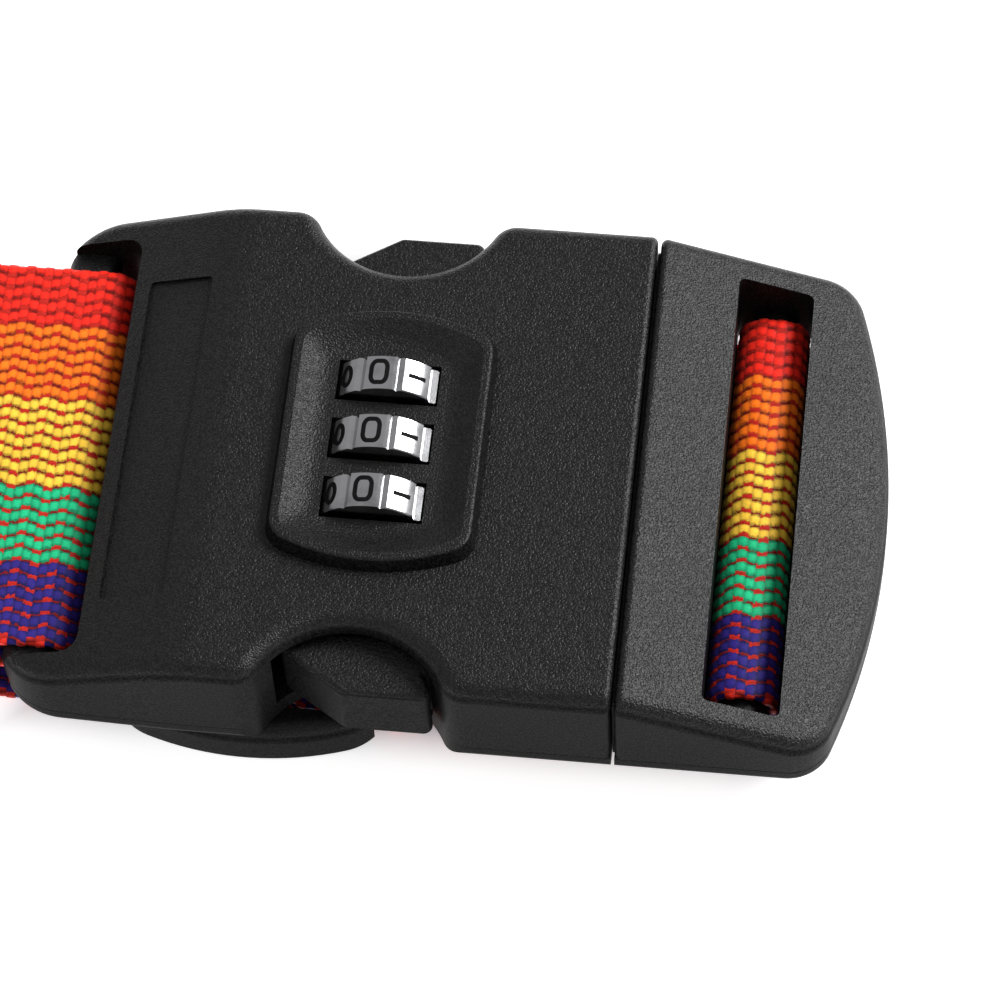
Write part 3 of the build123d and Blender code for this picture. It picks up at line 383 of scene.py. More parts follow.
def webbing_material():
    """Rainbow webbing: rows of yarn that step from column to column, with red weft between them."""
    s = Shader("webbing_rainbow")
    place = s.tree.nodes.new("ShaderNodeAttribute")
    place.attribute_name = "weave"
    weave = place.outputs["Vector"]
    split = s.node("ShaderNodeSeparateXYZ", Vector=weave)
    along, across = split.outputs[0], split.outputs[1]
    columns = s.math("DIVIDE", along, COLUMN)
    column = s.math("FLOOR", columns)
    zigzag = s.math("PINGPONG", columns, STEP_COLUMNS)
    stepped = s.math("PINGPONG", column, STEP_COLUMNS)
    rise = s.math("ADD", s.math("MULTIPLY", zigzag, ZIGZAG), s.math("MULTIPLY", stepped, STAGGER))
    row = s.math("SUBTRACT", s.math("DIVIDE", across, ROW), s.math("DIVIDE", rise, CELLS_PER_ROW))
    sway = s.noise(s.scaled(weave, (1.0, 0.35, 1.0)), 0.8, 1.0, 0.5)
    row = s.math("ADD", row, s.math("MULTIPLY", s.math("SUBTRACT", sway, 0.5), SWAY))
    row_index = s.math("FLOOR", row)
    within = s.math("FRACT", row)
    edge = s.math("MINIMUM", within, s.math("SUBTRACT", 1.0, within))
    frayed = s.noise(weave, 2.2, 2.0, 0.6)
    edge = s.math("ADD", edge, s.math("MULTIPLY", s.math("SUBTRACT", frayed, 0.5), FRAY))
    thin = s.math("PINGPONG", column, 1.0)
    drifting = s.noise(weave, 0.9, 2.0, 0.6)
    wander = s.math("MULTIPLY", s.math("SUBTRACT", drifting, 0.5), WEFT_WANDER)
    half = s.math("ADD", s.math("SUBTRACT", WEFT_HALF, s.math("MULTIPLY", thin, WEFT_THINNER)), wander)
    yarn = s.step(s.math("SUBTRACT", edge, half), -0.015, 0.02)
    # Stripe colours go by whole rows of yarn
    row_middle = s.math("MULTIPLY", s.math("ADD", row_index, 0.5), ROW)
    share = s.math("DIVIDE", s.math("ADD", row_middle, WEB_WIDTH / 2), WEB_WIDTH)
    ramp = s.tree.nodes.new("ShaderNodeValToRGB")
    ramp.color_ramp.interpolation = "CONSTANT"
    while len(ramp.color_ramp.elements) < len(STRIPES):
        ramp.color_ramp.elements.new(0.5)
    for element, (position, colour) in zip(ramp.color_ramp.elements, STRIPES):
        element.position = position
        element.color = (*colour, 1.0)
    s.put(ramp.inputs[0], share)
    # The near selvage is bound with red in every other pair of columns
    pair = s.math("PINGPONG", s.math("FLOOR", s.math("DIVIDE", column, 2.0)), 1.0)
    bound = s.math("MULTIPLY", s.math("LESS_THAN", across, SELVAGE_BOUND - WEB_WIDTH / 2), pair)
    stripe = s.mix(bound, ramp.outputs["Color"], WEFT_RED)
    cell = s.node("ShaderNodeCombineXYZ", X=column, Y=row_index)
    tint = s.node("ShaderNodeTexWhiteNoise", Vector=cell.outputs[0]).outputs["Value"]
    fibre = s.noise(s.scaled(weave, (1.2, 9.0, 1.0)), 1.6, 3.0, 0.65)
    lit = s.math("ADD", YARN_LIT, s.math("MULTIPLY", tint, 0.28))
    lit = s.math("ADD", lit, s.math("MULTIPLY", s.math("SUBTRACT", fibre, 0.5), 0.8))
    # Painted shade: darker towards the edges of each row of yarn and in the grooves between columns
    shade = s.step(edge, 0.10, 0.34, 0.40, 1.12)
    in_column = s.math("FRACT", columns)
    groove = s.math("MINIMUM", in_column, s.math("SUBTRACT", 1.0, in_column))
    shade = s.math("MULTIPLY", shade, s.step(groove, 0.0, 0.32, 0.66, 1.0))
    lit = s.math("MULTIPLY", lit, shade)
    shaded = s.tree.nodes.new("ShaderNodeVectorMath")
    shaded.operation = "SCALE"
    s.put(shaded.inputs[0], stripe)
    s.put(shaded.inputs["Scale"], lit)
    weft_tone = s.mix(thin, WEFT_RED, WEFT_SHADED)
    weft = s.mix(s.step(fibre, 0.3, 0.8), s.mix(0.5, weft_tone, WEFT_DEEP), weft_tone)
    colour = s.mix(yarn, weft, shaded.outputs[0])
    pillow = s.math("POWER", s.math("SINE", s.math("MULTIPLY", within, math.pi)), 0.5)
    relief = s.bump(pillow, 0.16 * MM, 0.6)
    normal = s.bump(fibre, 0.06 * MM, 0.7, relief)
    return s.set(
        Base_Color=colour,
        Roughness=0.5,
        Normal=normal,
        Sheen_Weight=0.04,
        Specular_IOR_Level=0.22,
    )


def thread_material():
    """Twisted red sewing thread."""
    s = Shader("thread_red")
    place = s.object_place()
    twist = s.node("ShaderNodeTexWave", Vector=s.scaled(place, (1.0, 1.0, 0.3)), Scale=900.0, Distortion=0.5)
    colour = s.mix(twist.outputs["Fac"], (0.28, 0.012, 0.010, 1.0), (0.62, 0.022, 0.018, 1.0))
    return s.set(Base_Color=colour, Roughness=0.6, Normal=s.bump(twist.outputs["Fac"], 0.04 * MM, 0.8))


def elastic_material():
    """Knitted black elastic."""
    s = Shader("elastic_black")
    place = s.object_place()
    knit = s.node("ShaderNodeTexWave", Vector=place, Scale=520.0, Distortion=1.5, Detail=2.0)
    knit.bands_direction = "Y"
    fibre = s.noise(place, 2400.0, 3.0, 0.6)
    both = s.math("ADD", s.math("MULTIPLY", knit.outputs["Fac"], 0.7), s.math("MULTIPLY", fibre, 0.4))
    colour = s.mix(both, grey(0.010), grey(0.045))
    return s.set(Base_Color=colour, Roughness=0.8, Normal=s.bump(both, 0.08 * MM, 0.9), Sheen_Weight=0.2)


def ink_material():
    """Matt black ink of the digits."""
    s = Shader("ink_black")
    place = s.object_place()
    cloud = s.noise(place, 1800.0, 2.0, 0.6)
    colour = s.mix(cloud, grey(0.003), grey(0.012))
    return s.set(Base_Color=colour, Roughness=0.6, Normal=s.bump(cloud, 0.01 * MM, 0.5), IOR=1.15)


# Middle of the painted shadow under the buckle, a patch where the floor's glow is left out, and the half
# sizes in metres between which the glow sets in
GLOW = 0.8
PAINTED_SHADOW_X = MOUTH_X - 20.0
PAINTED_SHADOW_Y = 8.0
PAINTED_SHADOW_X_FADE = (0.040, 0.050)
PAINTED_SHADOW_Y_FADE = (0.028, 0.037)


def floor_material():
    """White floor with a soft glow of its own, which stops short of the buckle's underside and so leaves a
    painted shadow there.
    """
    s = Shader("floor_white")
    cloud = s.noise(s.object_place(), 6.0, 2.0, 0.5)
    colour = s.mix(cloud, (0.90, 0.90, 0.90, 1.0), (0.93, 0.93, 0.93, 1.0))
    place = s.node("ShaderNodeSeparateXYZ", Vector=s.object_place())
    # Painted shadow: the glow is off round the buckle's middle and fades in beyond these half sizes
    beside_x = s.math("ABSOLUTE", s.math("SUBTRACT", place.outputs[0], PAINTED_SHADOW_X * MM))
    beside_y = s.math("ABSOLUTE", s.math("SUBTRACT", place.outputs[1], PAINTED_SHADOW_Y * MM))
    clear = s.math("MAXIMUM", s.step(beside_x, *PAINTED_SHADOW_X_FADE), s.step(beside_y, *PAINTED_SHADOW_Y_FADE))
    glow = s.math("MULTIPLY", clear, GLOW)
    return s.set(Base_Color=colour, Roughness=0.9, Emission_Color=WHITE, Emission_Strength=glow)


# Tone, roughness of tops and of walls, and grain in millimetres
COVER = moulded_black("abs_cover", 0.009, 0.38, 0.40, 0.15)
BASE = moulded_black("abs_base", 0.008, 0.42, 0.40, 0.07)
ARM = moulded_black("abs_arm", 0.009, 0.40, 0.40, 0.14)
# Colour, roughness, what the scratches add to it, their stretch, and grime
CHROME = metal("chrome_dial", (0.58, 0.58, 0.60), 0.12, 0.12, grime=0.5)
# The brass colour is far darker than bare brass: painted shade, as the sleeves sit under the dials
BRASS = metal("brass_painted_shade", (0.16, 0.11, 0.05), 0.34, 0.16, (1.0, 6.0, 1.0), grime=0.5)
STEEL = metal("steel_plain", (0.55, 0.55, 0.54), 0.28, 0.20, (1.0, 5.0, 1.0), grime=0.15)
WEBBING = webbing_material()
THREAD = thread_material()
ELASTIC = elastic_material()
INK = ink_material()

NODE_MATERIALS = {
    "socket_cover": COVER,
    "male_cover": COVER,
    "socket_base": BASE,
    "male_base": BASE,
    "slider_frame": BASE,
    "reset_button": ARM,
    "release_arm_near": ARM,
    "release_arm_far": ARM,
    "lock_plunger_near": BASE,
    "lock_plunger_far": BASE,
    "dial_near": CHROME,
    "dial_middle": CHROME,
    "dial_far": CHROME,
    "gate_sleeve_near": BRASS,
    "gate_sleeve_middle": BRASS,
    "gate_sleeve_far": BRASS,
    "storage_band": ELASTIC,
}


def dress(obj, material):
    """Give an object this one material."""
    obj.data.materials.clear()
    obj.data.materials.append(material)


for node_name, node in nodes.items():
    if node_name.startswith("web_"):
        dress(node, WEBBING)
    else:
        dress(node, NODE_MATERIALS.get(node_name, STEEL))


# ------------------------------------------------------------------ webbing


# Bends: openings this near to straight stay sharp, each takes at most this share of a leg, and arc steps
STRAIGHT = 0.02
BEND_SHARE = 0.49
BEND_STEP = 0.1
FOLD_STEPS = 16


def rounded(points, radius):
    """The centre line through the points, with arcs at its bends, as closely spaced points. A point's
    third value is its own bend radius."""
    line = [Vector(points[0][:2])]
    for before, at, after in zip(points, points[1:], points[2:]):
        a, b, c = Vector(before[:2]), Vector(at[:2]), Vector(after[:2])
        u, w = (a - b).normalized(), (c - b).normalized()
        opening = u.angle(w)
        if math.pi - opening < STRAIGHT:
            line.append(b)
            continue
        own = at[2] if len(at) > 2 else radius
        room = BEND_SHARE * min((a - b).length, (c - b).length)
        reach = min(own / math.tan(opening / 2), room)
        real = reach * math.tan(opening / 2)
        centre = b + (u + w).normalized() * (real / math.sin(opening / 2))
        first, last = b + u * reach, b + w * reach
        sweep = math.pi - opening
        steps = max(3, int(sweep / BEND_STEP))
        start = first - centre
        sign = 1 if start.cross(last - centre) > 0 else -1
        for n in range(steps + 1):
            angle = sign * sweep * n / steps
            ca, sa = math.cos(angle), math.sin(angle)
            line.append(centre + Vector((start.x * ca - start.y * sa, start.x * sa + start.y * ca)))
    line.append(Vector(points[-1][:2]))
    return line


def level_z(level):
    """Height of the middle of a layer; level 0 lies on the floor."""
    return WEB / 2 + level * WEB_PITCH


def fold(x, low, high, side):
    """Points of a half-round fold between two levels of the hank; side is -1 at the left end."""
    centre = (level_z(low) + level_z(high)) / 2
    radius = (level_z(high) - level_z(low)) / 2
    angles = [math.pi * n / FOLD_STEPS - math.pi / 2 for n in range(FOLD_STEPS + 1)]
    return [Vector((x + side * radius * math.cos(a), centre + radius * math.sin(a))) for a in angles]


# The strap's path round the bar, the slider and the male head's bar, as points in X and Z
upper_z = BAR_HIGH_Z + WEB / 2 + CONTACT
loop_right = SLOT_RIGHT - WEB / 2 - LOOP_SPARE
bar_under = BAR_LOW_Z - WEB / 2 - CONTACT
sewn_knee = SEWN_TO - 2.0
sewn_slope = SEWN_DROP / (sewn_knee - SEWN_FROM)
tail_x = SEWN_FROM + 3.0
SOCKET_LOOP = [
    (tail_x, upper_z - WEB_PITCH - sewn_slope * (sewn_knee - tail_x)),
    (sewn_knee, upper_z - WEB_PITCH),
    (SEWN_TO, upper_z - WEB_PITCH),
    (SOCKET_LEFT - 0.5, bar_under),
    (loop_right, bar_under, LOOP_LOW_R),
    (loop_right, upper_z, LOOP_HIGH_R),
    (SEWN_TO, upper_z),
]
UPPER_RUN = [
    (SEWN_TO, upper_z),
    (sewn_knee, upper_z),
    (SEWN_FROM, upper_z - SEWN_DROP),
    (HANK_RIGHT + 12.0, level_z(1.5) + 0.6),
    (HANK_RIGHT, level_z(1)),
]
middle_left = SLIDER_X - SLIDER_BAR / 2 - WEB / 2
middle_right = SLIDER_X + SLIDER_BAR / 2 + WEB / 2
sewn_over = SLIDER_BAR_TOP + WEB / 2 + CONTACT
running_over = sewn_over + WEB + CONTACT
SLIDER_RUN = [
    (HANK_RIGHT, level_z(0)),
    (SLIDER_LEFT - 2.0, level_z(0)),
    (middle_left - 1.9, level_z(0)),
    (middle_left - 1.45, running_over),
    (middle_right + 0.9, running_over),
    (middle_right + 2.4, level_z(2)),
    (SLIDER_RIGHT, level_z(2)),
    (SPLICE_X, level_z(2) + SPLICE_RISE),
]
head_under = BOTTOM_Z - WEB / 2 - SLOT_SPARE
slot_left = HEAD_SLOT_FROM + WEB / 2 + SLOT_SPARE
slot_right = HEAD_SLOT_TO - WEB / 2 - SLOT_SPARE
over_bar = HEAD_BAR_Z + WEB / 2 + CONTACT
head_bar_x = (HEAD_BAR_FROM + HEAD_BAR_TO) / 2
MALE_LOOP = [
    (SPLICE_X, level_z(2) + SPLICE_RISE),
    (MOUTH_X - 2.0, head_under),
    (slot_left, head_under),
    (slot_left, over_bar - ARCH_SHOULDER, ARCH_R),
    (head_bar_x - 1.6, over_bar + 0.1, ARCH_R),
    (head_bar_x + 1.6, over_bar + 0.1, ARCH_R),
    (slot_right, over_bar - ARCH_SHOULDER, ARCH_R),
    (slot_right, BOTTOM_Z + 0.4),
    (slot_right + 0.65, head_under),
    (slot_right - 0.5, head_under - 0.25),
    (HEAD_BAR_FROM + 2.4, head_under),
    (HEAD_BAR_FROM - 0.1, head_under - WEB_PITCH),
    (MOUTH_X - 2.0, head_under - WEB_PITCH),
    (SPLICE_X, level_z(1) + SPLICE_RISE),
]
SLIDER_END = [
    (SPLICE_X, level_z(1) + SPLICE_RISE),
    (SLIDER_RIGHT, level_z(1)),
    (middle_right + 1.6, level_z(1)),
    (middle_right + 0.1, sewn_over),
    (middle_left - 0.05, sewn_over),
    (middle_left - 0.05, level_z(0)),
    (SLIDER_RIGHT + 3.0, level_z(0)),
]

fold_left = HANK_LEFT + FOLD_REACH
fold_right = HANK_RIGHT - FOLD_REACH
# The folded layers in the order in which the strap runs through them: (low, high, side, upwards)
HANK_FOLDS = [
    (1, 2, -1, True),
    (2, 5, 1, True),
    (5, 6, -1, True),
    (6, 9, 1, True),
    (9, 10, -1, True),
    (10, 11, 1, True),
    (8, 11, -1, False),
    (7, 8, 1, False),
    (4, 7, -1, False),
    (3, 4, 1, False),
    (0, 3, -1, False),
]
SEAM_X = fold_left + SEAM_INSET


def upper_line():
    """From the sewn end round the socket's bar to the hank, and through its layers to the seam."""
    line = rounded(SOCKET_LOOP, LOOP_R)[:-1] + rounded(UPPER_RUN, RUN_R)
    for low, high, side, upwards in HANK_FOLDS:
        bend = fold(fold_left if side < 0 else fold_right, low, high, side)
        line += bend if upwards else bend[::-1]
    line.append(Vector((SEAM_X, level_z(0))))
    return line


def lower_line():
    """From the seam through the slider, over the male head's bar and back to the slider's middle bar."""
    line = [Vector((SEAM_X, level_z(0)))]
    line += rounded(SLIDER_RUN, BEND_R)[:-1]
    line += rounded(MALE_LOOP, BEND_R)[:-1]
    line += rounded(SLIDER_END, BEND_R)
    return line


def pressed(x):
    """How hard the storage band presses at x, from 0 to 1."""
    return 1 - smoothstep(BAND_WIDTH / 2, BAND_WIDTH / 2 + BAND_EASE, np.abs(x - BAND_X))


def squeezed(x, z):
    """Height under the storage band, which presses the folded layers together."""
    press = pressed(x)
    low = BAND_THICK + BAND_SPARE
    high = HANK_HEIGHT - BAND_THICK - BAND_SPARE
    return z * (1 - press) + (low + z * (high - low) / HANK_HEIGHT) * press


# How far the tangent looks ahead and behind, and the least distance of a station from the strap's ends
TANGENT_REACH = 0.12
END_GAP = 0.05


def stations(length, first_column, fine):
    """Distances along the strap: three in each column where fine(s) is true, else one in three columns."""
    picked = [0.0]
    column = math.floor(first_column)
    offset = (first_column - column) * COLUMN
    count = int((length + offset) / COLUMN) + 1
    for n in range(count):
        start = n * COLUMN - offset
        middle = start + COLUMN / 2
        if fine(middle):
            picked += [start + COLUMN * share for share in COLUMN_STATIONS]
        elif n % 3 == 0:
            picked.append(middle)
    return np.array([0.0] + [s for s in picked[1:] if END_GAP < s < length - END_GAP] + [length])


def strap(name, line, start, fine, drift):
    """Woven strap along a centre line in the XZ plane. start is the distance along the whole strap
    where this piece begins; the weave carries on from it. fine tells by X and distance where the weave
    is modelled, and drift gives the strap's middle in Y by X and distance."""
    points = np.array([(p.x, p.y) for p in line])
    keep = np.concatenate([[True], np.linalg.norm(np.diff(points, axis=0), axis=1) > 1e-4])
    points = points[keep]
    run = np.concatenate([[0], np.cumsum(np.linalg.norm(np.diff(points, axis=0), axis=1))])
    length = run[-1]
    s = stations(length, start / COLUMN, lambda d: fine(np.interp(d, run, points[:, 0]), d))
    x = np.interp(s, run, points[:, 0])
    z = np.interp(s, run, points[:, 1])
    ahead = np.minimum(s + TANGENT_REACH, length)
    behind = np.maximum(s - TANGENT_REACH, 0)
    tangent = np.stack(
        [
            np.interp(ahead, run, points[:, 0]) - np.interp(behind, run, points[:, 0]),
            np.interp(ahead, run, points[:, 1]) - np.interp(behind, run, points[:, 1]),
        ],
        -1,
    )
    tangent /= np.linalg.norm(tangent, axis=1, keepdims=True)
    cells = int(round(WEB_WIDTH / ROW)) * CELLS_PER_ROW
    across = np.linspace(-WEB_WIDTH / 2, WEB_WIDTH / 2, cells + 1)
    whole = s + start
    column = np.floor(whole / COLUMN)
    zigzag = STEP_COLUMNS - np.abs((whole / COLUMN) % (2 * STEP_COLUMNS) - STEP_COLUMNS)
    stepped = STEP_COLUMNS - np.abs(column % (2 * STEP_COLUMNS) - STEP_COLUMNS)
    rise = ZIGZAG * zigzag + STAGGER * stepped
    row = across[None, :] / ROW - rise[:, None] / CELLS_PER_ROW
    pillow = np.sin(np.pi * (row % 1.0)) ** 0.5
    centre = (whole / COLUMN) % 1.0
    crest = 0.84 + 0.16 * np.cos(2 * np.pi * (centre - 0.5))
    spacing = np.gradient(s)
    woven = spacing < FINE_SPACING
    relief = np.where(woven, 1.0, 0.0)[:, None]
    depth = YARN_DEPTH * (1 - pillow * crest[:, None]) * relief
    half = WEB / 2 - depth
    side_taper = np.ones(cells + 1)
    side_taper[[0, -1]] = 0.5
    side_taper[[1, -2]] = 0.88
    half = half * side_taper[None, :]
    middle = drift(x, whole)
    # The selvage bulges a little at every other column
    bulge = SELVAGE_BULGE * np.where(column % 2 < 1, 1.0, -0.4) * woven
    edge = smoothstep(WEB_WIDTH / 2 - SELVAGE, WEB_WIDTH / 2, np.abs(across))
    y = across[None, :] + middle[:, None] + np.sign(across)[None, :] * edge[None, :] * bulge[:, None]
    y = y * (1 - WAIST * pressed(x))[:, None]
    normal = np.stack([-tangent[:, 1], tangent[:, 0]], -1)
    layers = []
    for sign in (1, -1):
        px = x[:, None] + sign * normal[:, 0, None] * half
        pz = z[:, None] + sign * normal[:, 1, None] * half
        pz = squeezed(px, pz)
        layers.append(np.stack([px, y, pz], -1).reshape(-1, 3))
    rows, cols = len(s), cells + 1
    total = rows * cols
    top = grid_faces(rows, cols)
    bottom = grid_faces(rows, cols, start=total, flip=True)
    # Walls round the edge join the two layers
    ring = np.concatenate(
        [
            np.arange(cols),
            np.arange(1, rows) * cols + cols - 1,
            (rows - 1) * cols + np.arange(cols - 2, -1, -1),
            np.arange(rows - 2, 0, -1) * cols,
        ]
    )
    following = np.roll(ring, -1)
    walls = np.stack([following, ring, ring + total, following + total], -1)
    faces = np.concatenate([top, bottom, walls])
    obj = new_mesh(name, np.concatenate(layers), faces.tolist())
    weave = np.zeros((2 * total, 3), np.float32)
    weave[:, 0] = np.tile(np.repeat(whole, cols), 2)
    weave[:, 1] = np.tile(np.tile(across, rows), 2)
    attribute = obj.data.attributes.new("weave", "FLOAT_VECTOR", "POINT")
    attribute.data.foreach_set("vector", weave.ravel())
    dress(obj, WEBBING)
    return obj, length


HANK_FLAT_FROM = fold_left - 0.5
HANK_FLAT_TO = fold_right + 0.5


upper_points = upper_line()
heights = np.array([p.y for p in upper_points])
pieces = [(b - a).length for a, b in zip(upper_points, upper_points[1:])]
distances = np.concatenate([[0], np.cumsum(pieces)])
on_top = distances[np.abs(heights - level_z(HANK_LEVELS - 1)) < 0.01]
top_from, top_to = on_top.min() - 1.0, on_top.max() + 1.0


def upper_fine(x, distance):
    """Fine weave on the run to the buckle, at the folds, and on the hank's top layer."""
    inside = HANK_FLAT_FROM < x < HANK_FLAT_TO
    return not inside or top_from < distance < top_to


def lower_fine(_x, _distance):
    """Fine weave all along."""
    return True


def upper_drift(x, distance):
    """The layers of the hank lie a little loosely, and the strap runs straight into the buckle."""
    loose = 0.35 * np.sin(distance / 61.0) + 0.25 * np.sin(distance / 23.0 + 1.0)
    return -0.4 * smoothstep(-40, 40, x) + loose * (1 - smoothstep(-20, 10, x))


def lower_drift(x, _distance):
    """The strap lies towards the far end of the male head's slot."""
    return 1.2 * smoothstep(MOUTH_X - 20.0, MOUTH_X + 5.0, x)


webbing_upper, upper_length = strap("webbing_upper", upper_points, 0.0, upper_fine, upper_drift)
webbing_lower, lower_length = strap("webbing_lower", lower_line(), upper_length, lower_fine, lower_drift)
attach(webbing_upper, "socket")
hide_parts("web_socket_loop", "web_upper_run", "web_hank")
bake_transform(webbing_lower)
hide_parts("web_lower_run", "web_slider_run", "web_slider_end", "web_male_loop")

# ------------------------------------------------------------------ stitches


def sewn_rows(x_from, x_to, y_half):
    """A stitched box with its two diagonals, as straight runs from point to point in plan."""
    corners = [(x_from, -y_half), (x_to, -y_half), (x_to, y_half), (x_from, y_half)]
    runs = list(zip(corners, corners[1:] + corners[:1]))
    return runs + [(corners[0], corners[2]), (corners[1], corners[3])]


def stitches(name, box, surface, body):
    """Thread in short raised stitches along the box's runs; surface(x) is the height they lie at."""
    verts = []
    faces = []
    sides, steps = 8, 7
    for a, b in sewn_rows(*box):
        a, b = np.array(a), np.array(b)
        length = np.linalg.norm(b - a)
        count = max(2, int(length / STITCH_PITCH))
        along = (b - a) / length
        across = np.array([-along[1], along[0]])
        for n in range(count):
            middle = a + along * (n + 0.5) * length / count
            first = len(verts)
            for step in range(steps):
                t = 2 * step / (steps - 1) - 1
                radius = STITCH_R * math.sqrt(max(1 - t**4, 0.03))
                for side in range(sides):
                    angle = 2 * math.pi * side / sides
                    x, y = middle + along * t * STITCH_LENGTH / 2 + across * radius * math.cos(angle)
                    sink = 0.5 * STITCH_R * t * t
                    verts.append((x, y, surface(x) + radius * math.sin(angle) - sink))
            faces += grid_faces(steps, sides, wrap_cols=True, start=first).tolist()
            faces.append(list(range(first, first + sides)))
            faces.append(list(range(first + (steps - 1) * sides, first + steps * sides))[::-1])
    obj = new_mesh(name, verts, faces)
    dress(obj, THREAD)
    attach(obj, body)


def sewn_top(x):
    """Top of the strap where its end is sewn on below it."""
    drop = sewn_slope * max(sewn_knee - x, 0)
    return upper_z - drop + WEB / 2 - 0.02


def sewn_underside(x):
    """Underside of the sewn end."""
    return sewn_top(x) - WEB - WEB_PITCH + 0.04


def slider_underside(_x):
    """Just above the floor, under the end sewn at the slider."""
    return STITCH_R * 0.8


SEWN_BOX = (SEWN_FROM + 4.5, SEWN_TO - 0.8, STITCH_BOX_HALF)
TAIL_BOX = (middle_right + 2.6, SLIDER_RIGHT + 1.6, STITCH_BOX_HALF)
stitches("stitches_top", SEWN_BOX, sewn_top, "socket")
stitches("stitches_underside", SEWN_BOX, sewn_underside, "socket")
stitches("stitches_slider", TAIL_BOX, slider_underside, "male_head")

# ------------------------------------------------------------------ storage band


def storage_band():
    """Ribbed elastic round the folded strap."""
    half_y = WEB_WIDTH / 2 - 0.2 + BAND_THICK / 2
    half_z = HANK_HEIGHT / 2 - 0.05 - BAND_THICK / 2
    corner = BAND_CORNER_R
    path = []
    centres = [(half_y - corner, half_z - corner, 0), (corner - half_y, half_z - corner, 1)]
    centres += [(corner - half_y, corner - half_z, 2), (half_y - corner, corner - half_z, 3)]
    for n, (cy, cz, quarter) in enumerate(centres):
        for step in range(BAND_CORNER_STEPS + 1):
            angle = math.pi / 2 * (quarter + step / BAND_CORNER_STEPS)
            normal = (math.cos(angle), math.sin(angle))
            path.append(((cy + corner * normal[0], cz + corner * normal[1]), normal))
        ny, nz, following = centres[(n + 1) % 4]
        end = path[-1]
        start_angle = math.pi / 2 * following
        target = (ny + corner * math.cos(start_angle), nz + corner * math.sin(start_angle))
        count = int(math.dist(end[0], target) / BAND_PATH_STEP)
        for step in range(1, count):
            share = step / count
            place = [a + (b - a) * share for a, b in zip(end[0], target)]
            path.append((tuple(place), end[1]))
    widths = np.linspace(-BAND_WIDTH / 2, BAND_WIDTH / 2, 65)
    ribs = RIB_HEIGHT * np.abs(np.sin(widths * math.pi)) ** 0.6
    rim = np.minimum(1, (BAND_WIDTH / 2 - np.abs(widths)) / 0.35)
    outer = BAND_THICK / 2 - RIB_HEIGHT + ribs - 0.18 * (1 - rim) ** 2
    verts = []
    for n, ((y, z), (ny, nz)) in enumerate(path):
        pick = 0.03 * (n % 2)
        for w, o in zip(widths, outer):
            verts.append((BAND_X + w, y + ny * (o - pick), HANK_HEIGHT / 2 + z + nz * (o - pick)))
        for w in (BAND_WIDTH / 2, -BAND_WIDTH / 2):
            inner = -BAND_THICK / 2
            verts.append((BAND_X + w, y + ny * inner, HANK_HEIGHT / 2 + z + nz * inner))
    rows, cols = len(path), len(widths) + 2
    obj = new_mesh("elastic_band", verts, grid_faces(rows, cols, True, True).tolist())
    dress(obj, ELASTIC)
    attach(obj, "socket")
    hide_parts("storage_band")


storage_band()

# ------------------------------------------------------------------ plunger springs


def coil(name, side, node):
    """A coil spring from the stop on the base to the plunger."""
    length = SPRING_TO - SPRING_FROM - 2 * SPRING_WIRE_R
    steps, sides = SPRING_TURNS * SPRING_STEPS_PER_TURN, SPRING_SIDES
    axis = np.array([0, side, 0])
    verts = []
    for n in range(steps + 1):
        share = n / steps
        turn_angle = 2 * math.pi * SPRING_TURNS * share
        out = np.array([math.cos(turn_angle), 0.0, math.sin(turn_angle)])
        y = side * (SPRING_FROM + SPRING_WIRE_R + length * share)
        middle = np.array([SPRING_X, y, SPRING_Z]) + SPRING_R * out
        for k in range(sides):
            angle = 2 * math.pi * k / sides
            verts.append(middle + SPRING_WIRE_R * (math.cos(angle) * out + math.sin(angle) * axis))
    faces = grid_faces(steps + 1, sides, wrap_cols=True).tolist()
    faces.append(list(range(sides))[::-1])
    faces.append(list(range(steps * sides, (steps + 1) * sides)))
    if side < 0:
        faces = [face[::-1] for face in faces]
    obj = new_mesh(name, verts, faces)
    dress(obj, STEEL)
    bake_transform(obj)
    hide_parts(node)


for place, side in (("near", -1), ("far", 1)):
    coil(f"coil_{place}", side, f"plunger_spring_{place}")

# ------------------------------------------------------------------ lip in the mouth


def mouth_lip():
    """A thin lip on the male head's face, set back from the outline, which closes the joint to light."""
    loops = [
        (LIP_OUT_X, LIP_HALF, LIP_LOW_Z, LIP_HIGH_Z),
        (LIP_IN_X, LIP_HALF, LIP_LOW_Z, LIP_HIGH_Z),
        (LIP_IN_X, LIP_HALF - LIP_SIDE, LIP_LOW_Z + LIP_EDGE, LIP_HIGH_Z - LIP_EDGE),
        (LIP_OUT_X, LIP_HALF - LIP_SIDE, LIP_LOW_Z + LIP_EDGE, LIP_HIGH_Z - LIP_EDGE),
    ]
    steps, r = LIP_CORNER_STEPS, LIP_CORNER_R
    verts = []
    for x, half, low, high in loops:
        # The middle of each rounded corner, and the quarter of a turn that its arc takes
        corners = [(half - r, high - r, 0), (r - half, high - r, 1)]
        corners += [(r - half, low + r, 2), (half - r, low + r, 3)]
        for y, z, quarter in corners:
            for n in range(steps + 1):
                angle = math.pi / 2 * (quarter + n / steps)
                verts.append((x, y + r * math.cos(angle), z + r * math.sin(angle)))
    faces = grid_faces(len(loops), 4 * (steps + 1), wrap_rows=True, wrap_cols=True)
    obj = new_mesh("mouth_lip", verts, faces.tolist(), smooth=False)
    dress(obj, COVER)
    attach(obj, "male_head")


mouth_lip()

# ------------------------------------------------------------------ digits on the dials

# Half sizes of a digit, the stroke's width, and how far the ink stands out of the dial and reaches into it
DIGIT_HALF_WIDTH = 1.36
DIGIT_HALF_HEIGHT = 0.88
STROKE = 0.50
INK_PROUD = 0.04
INK_SUNK = 0.15
INK_STEP = 0.15


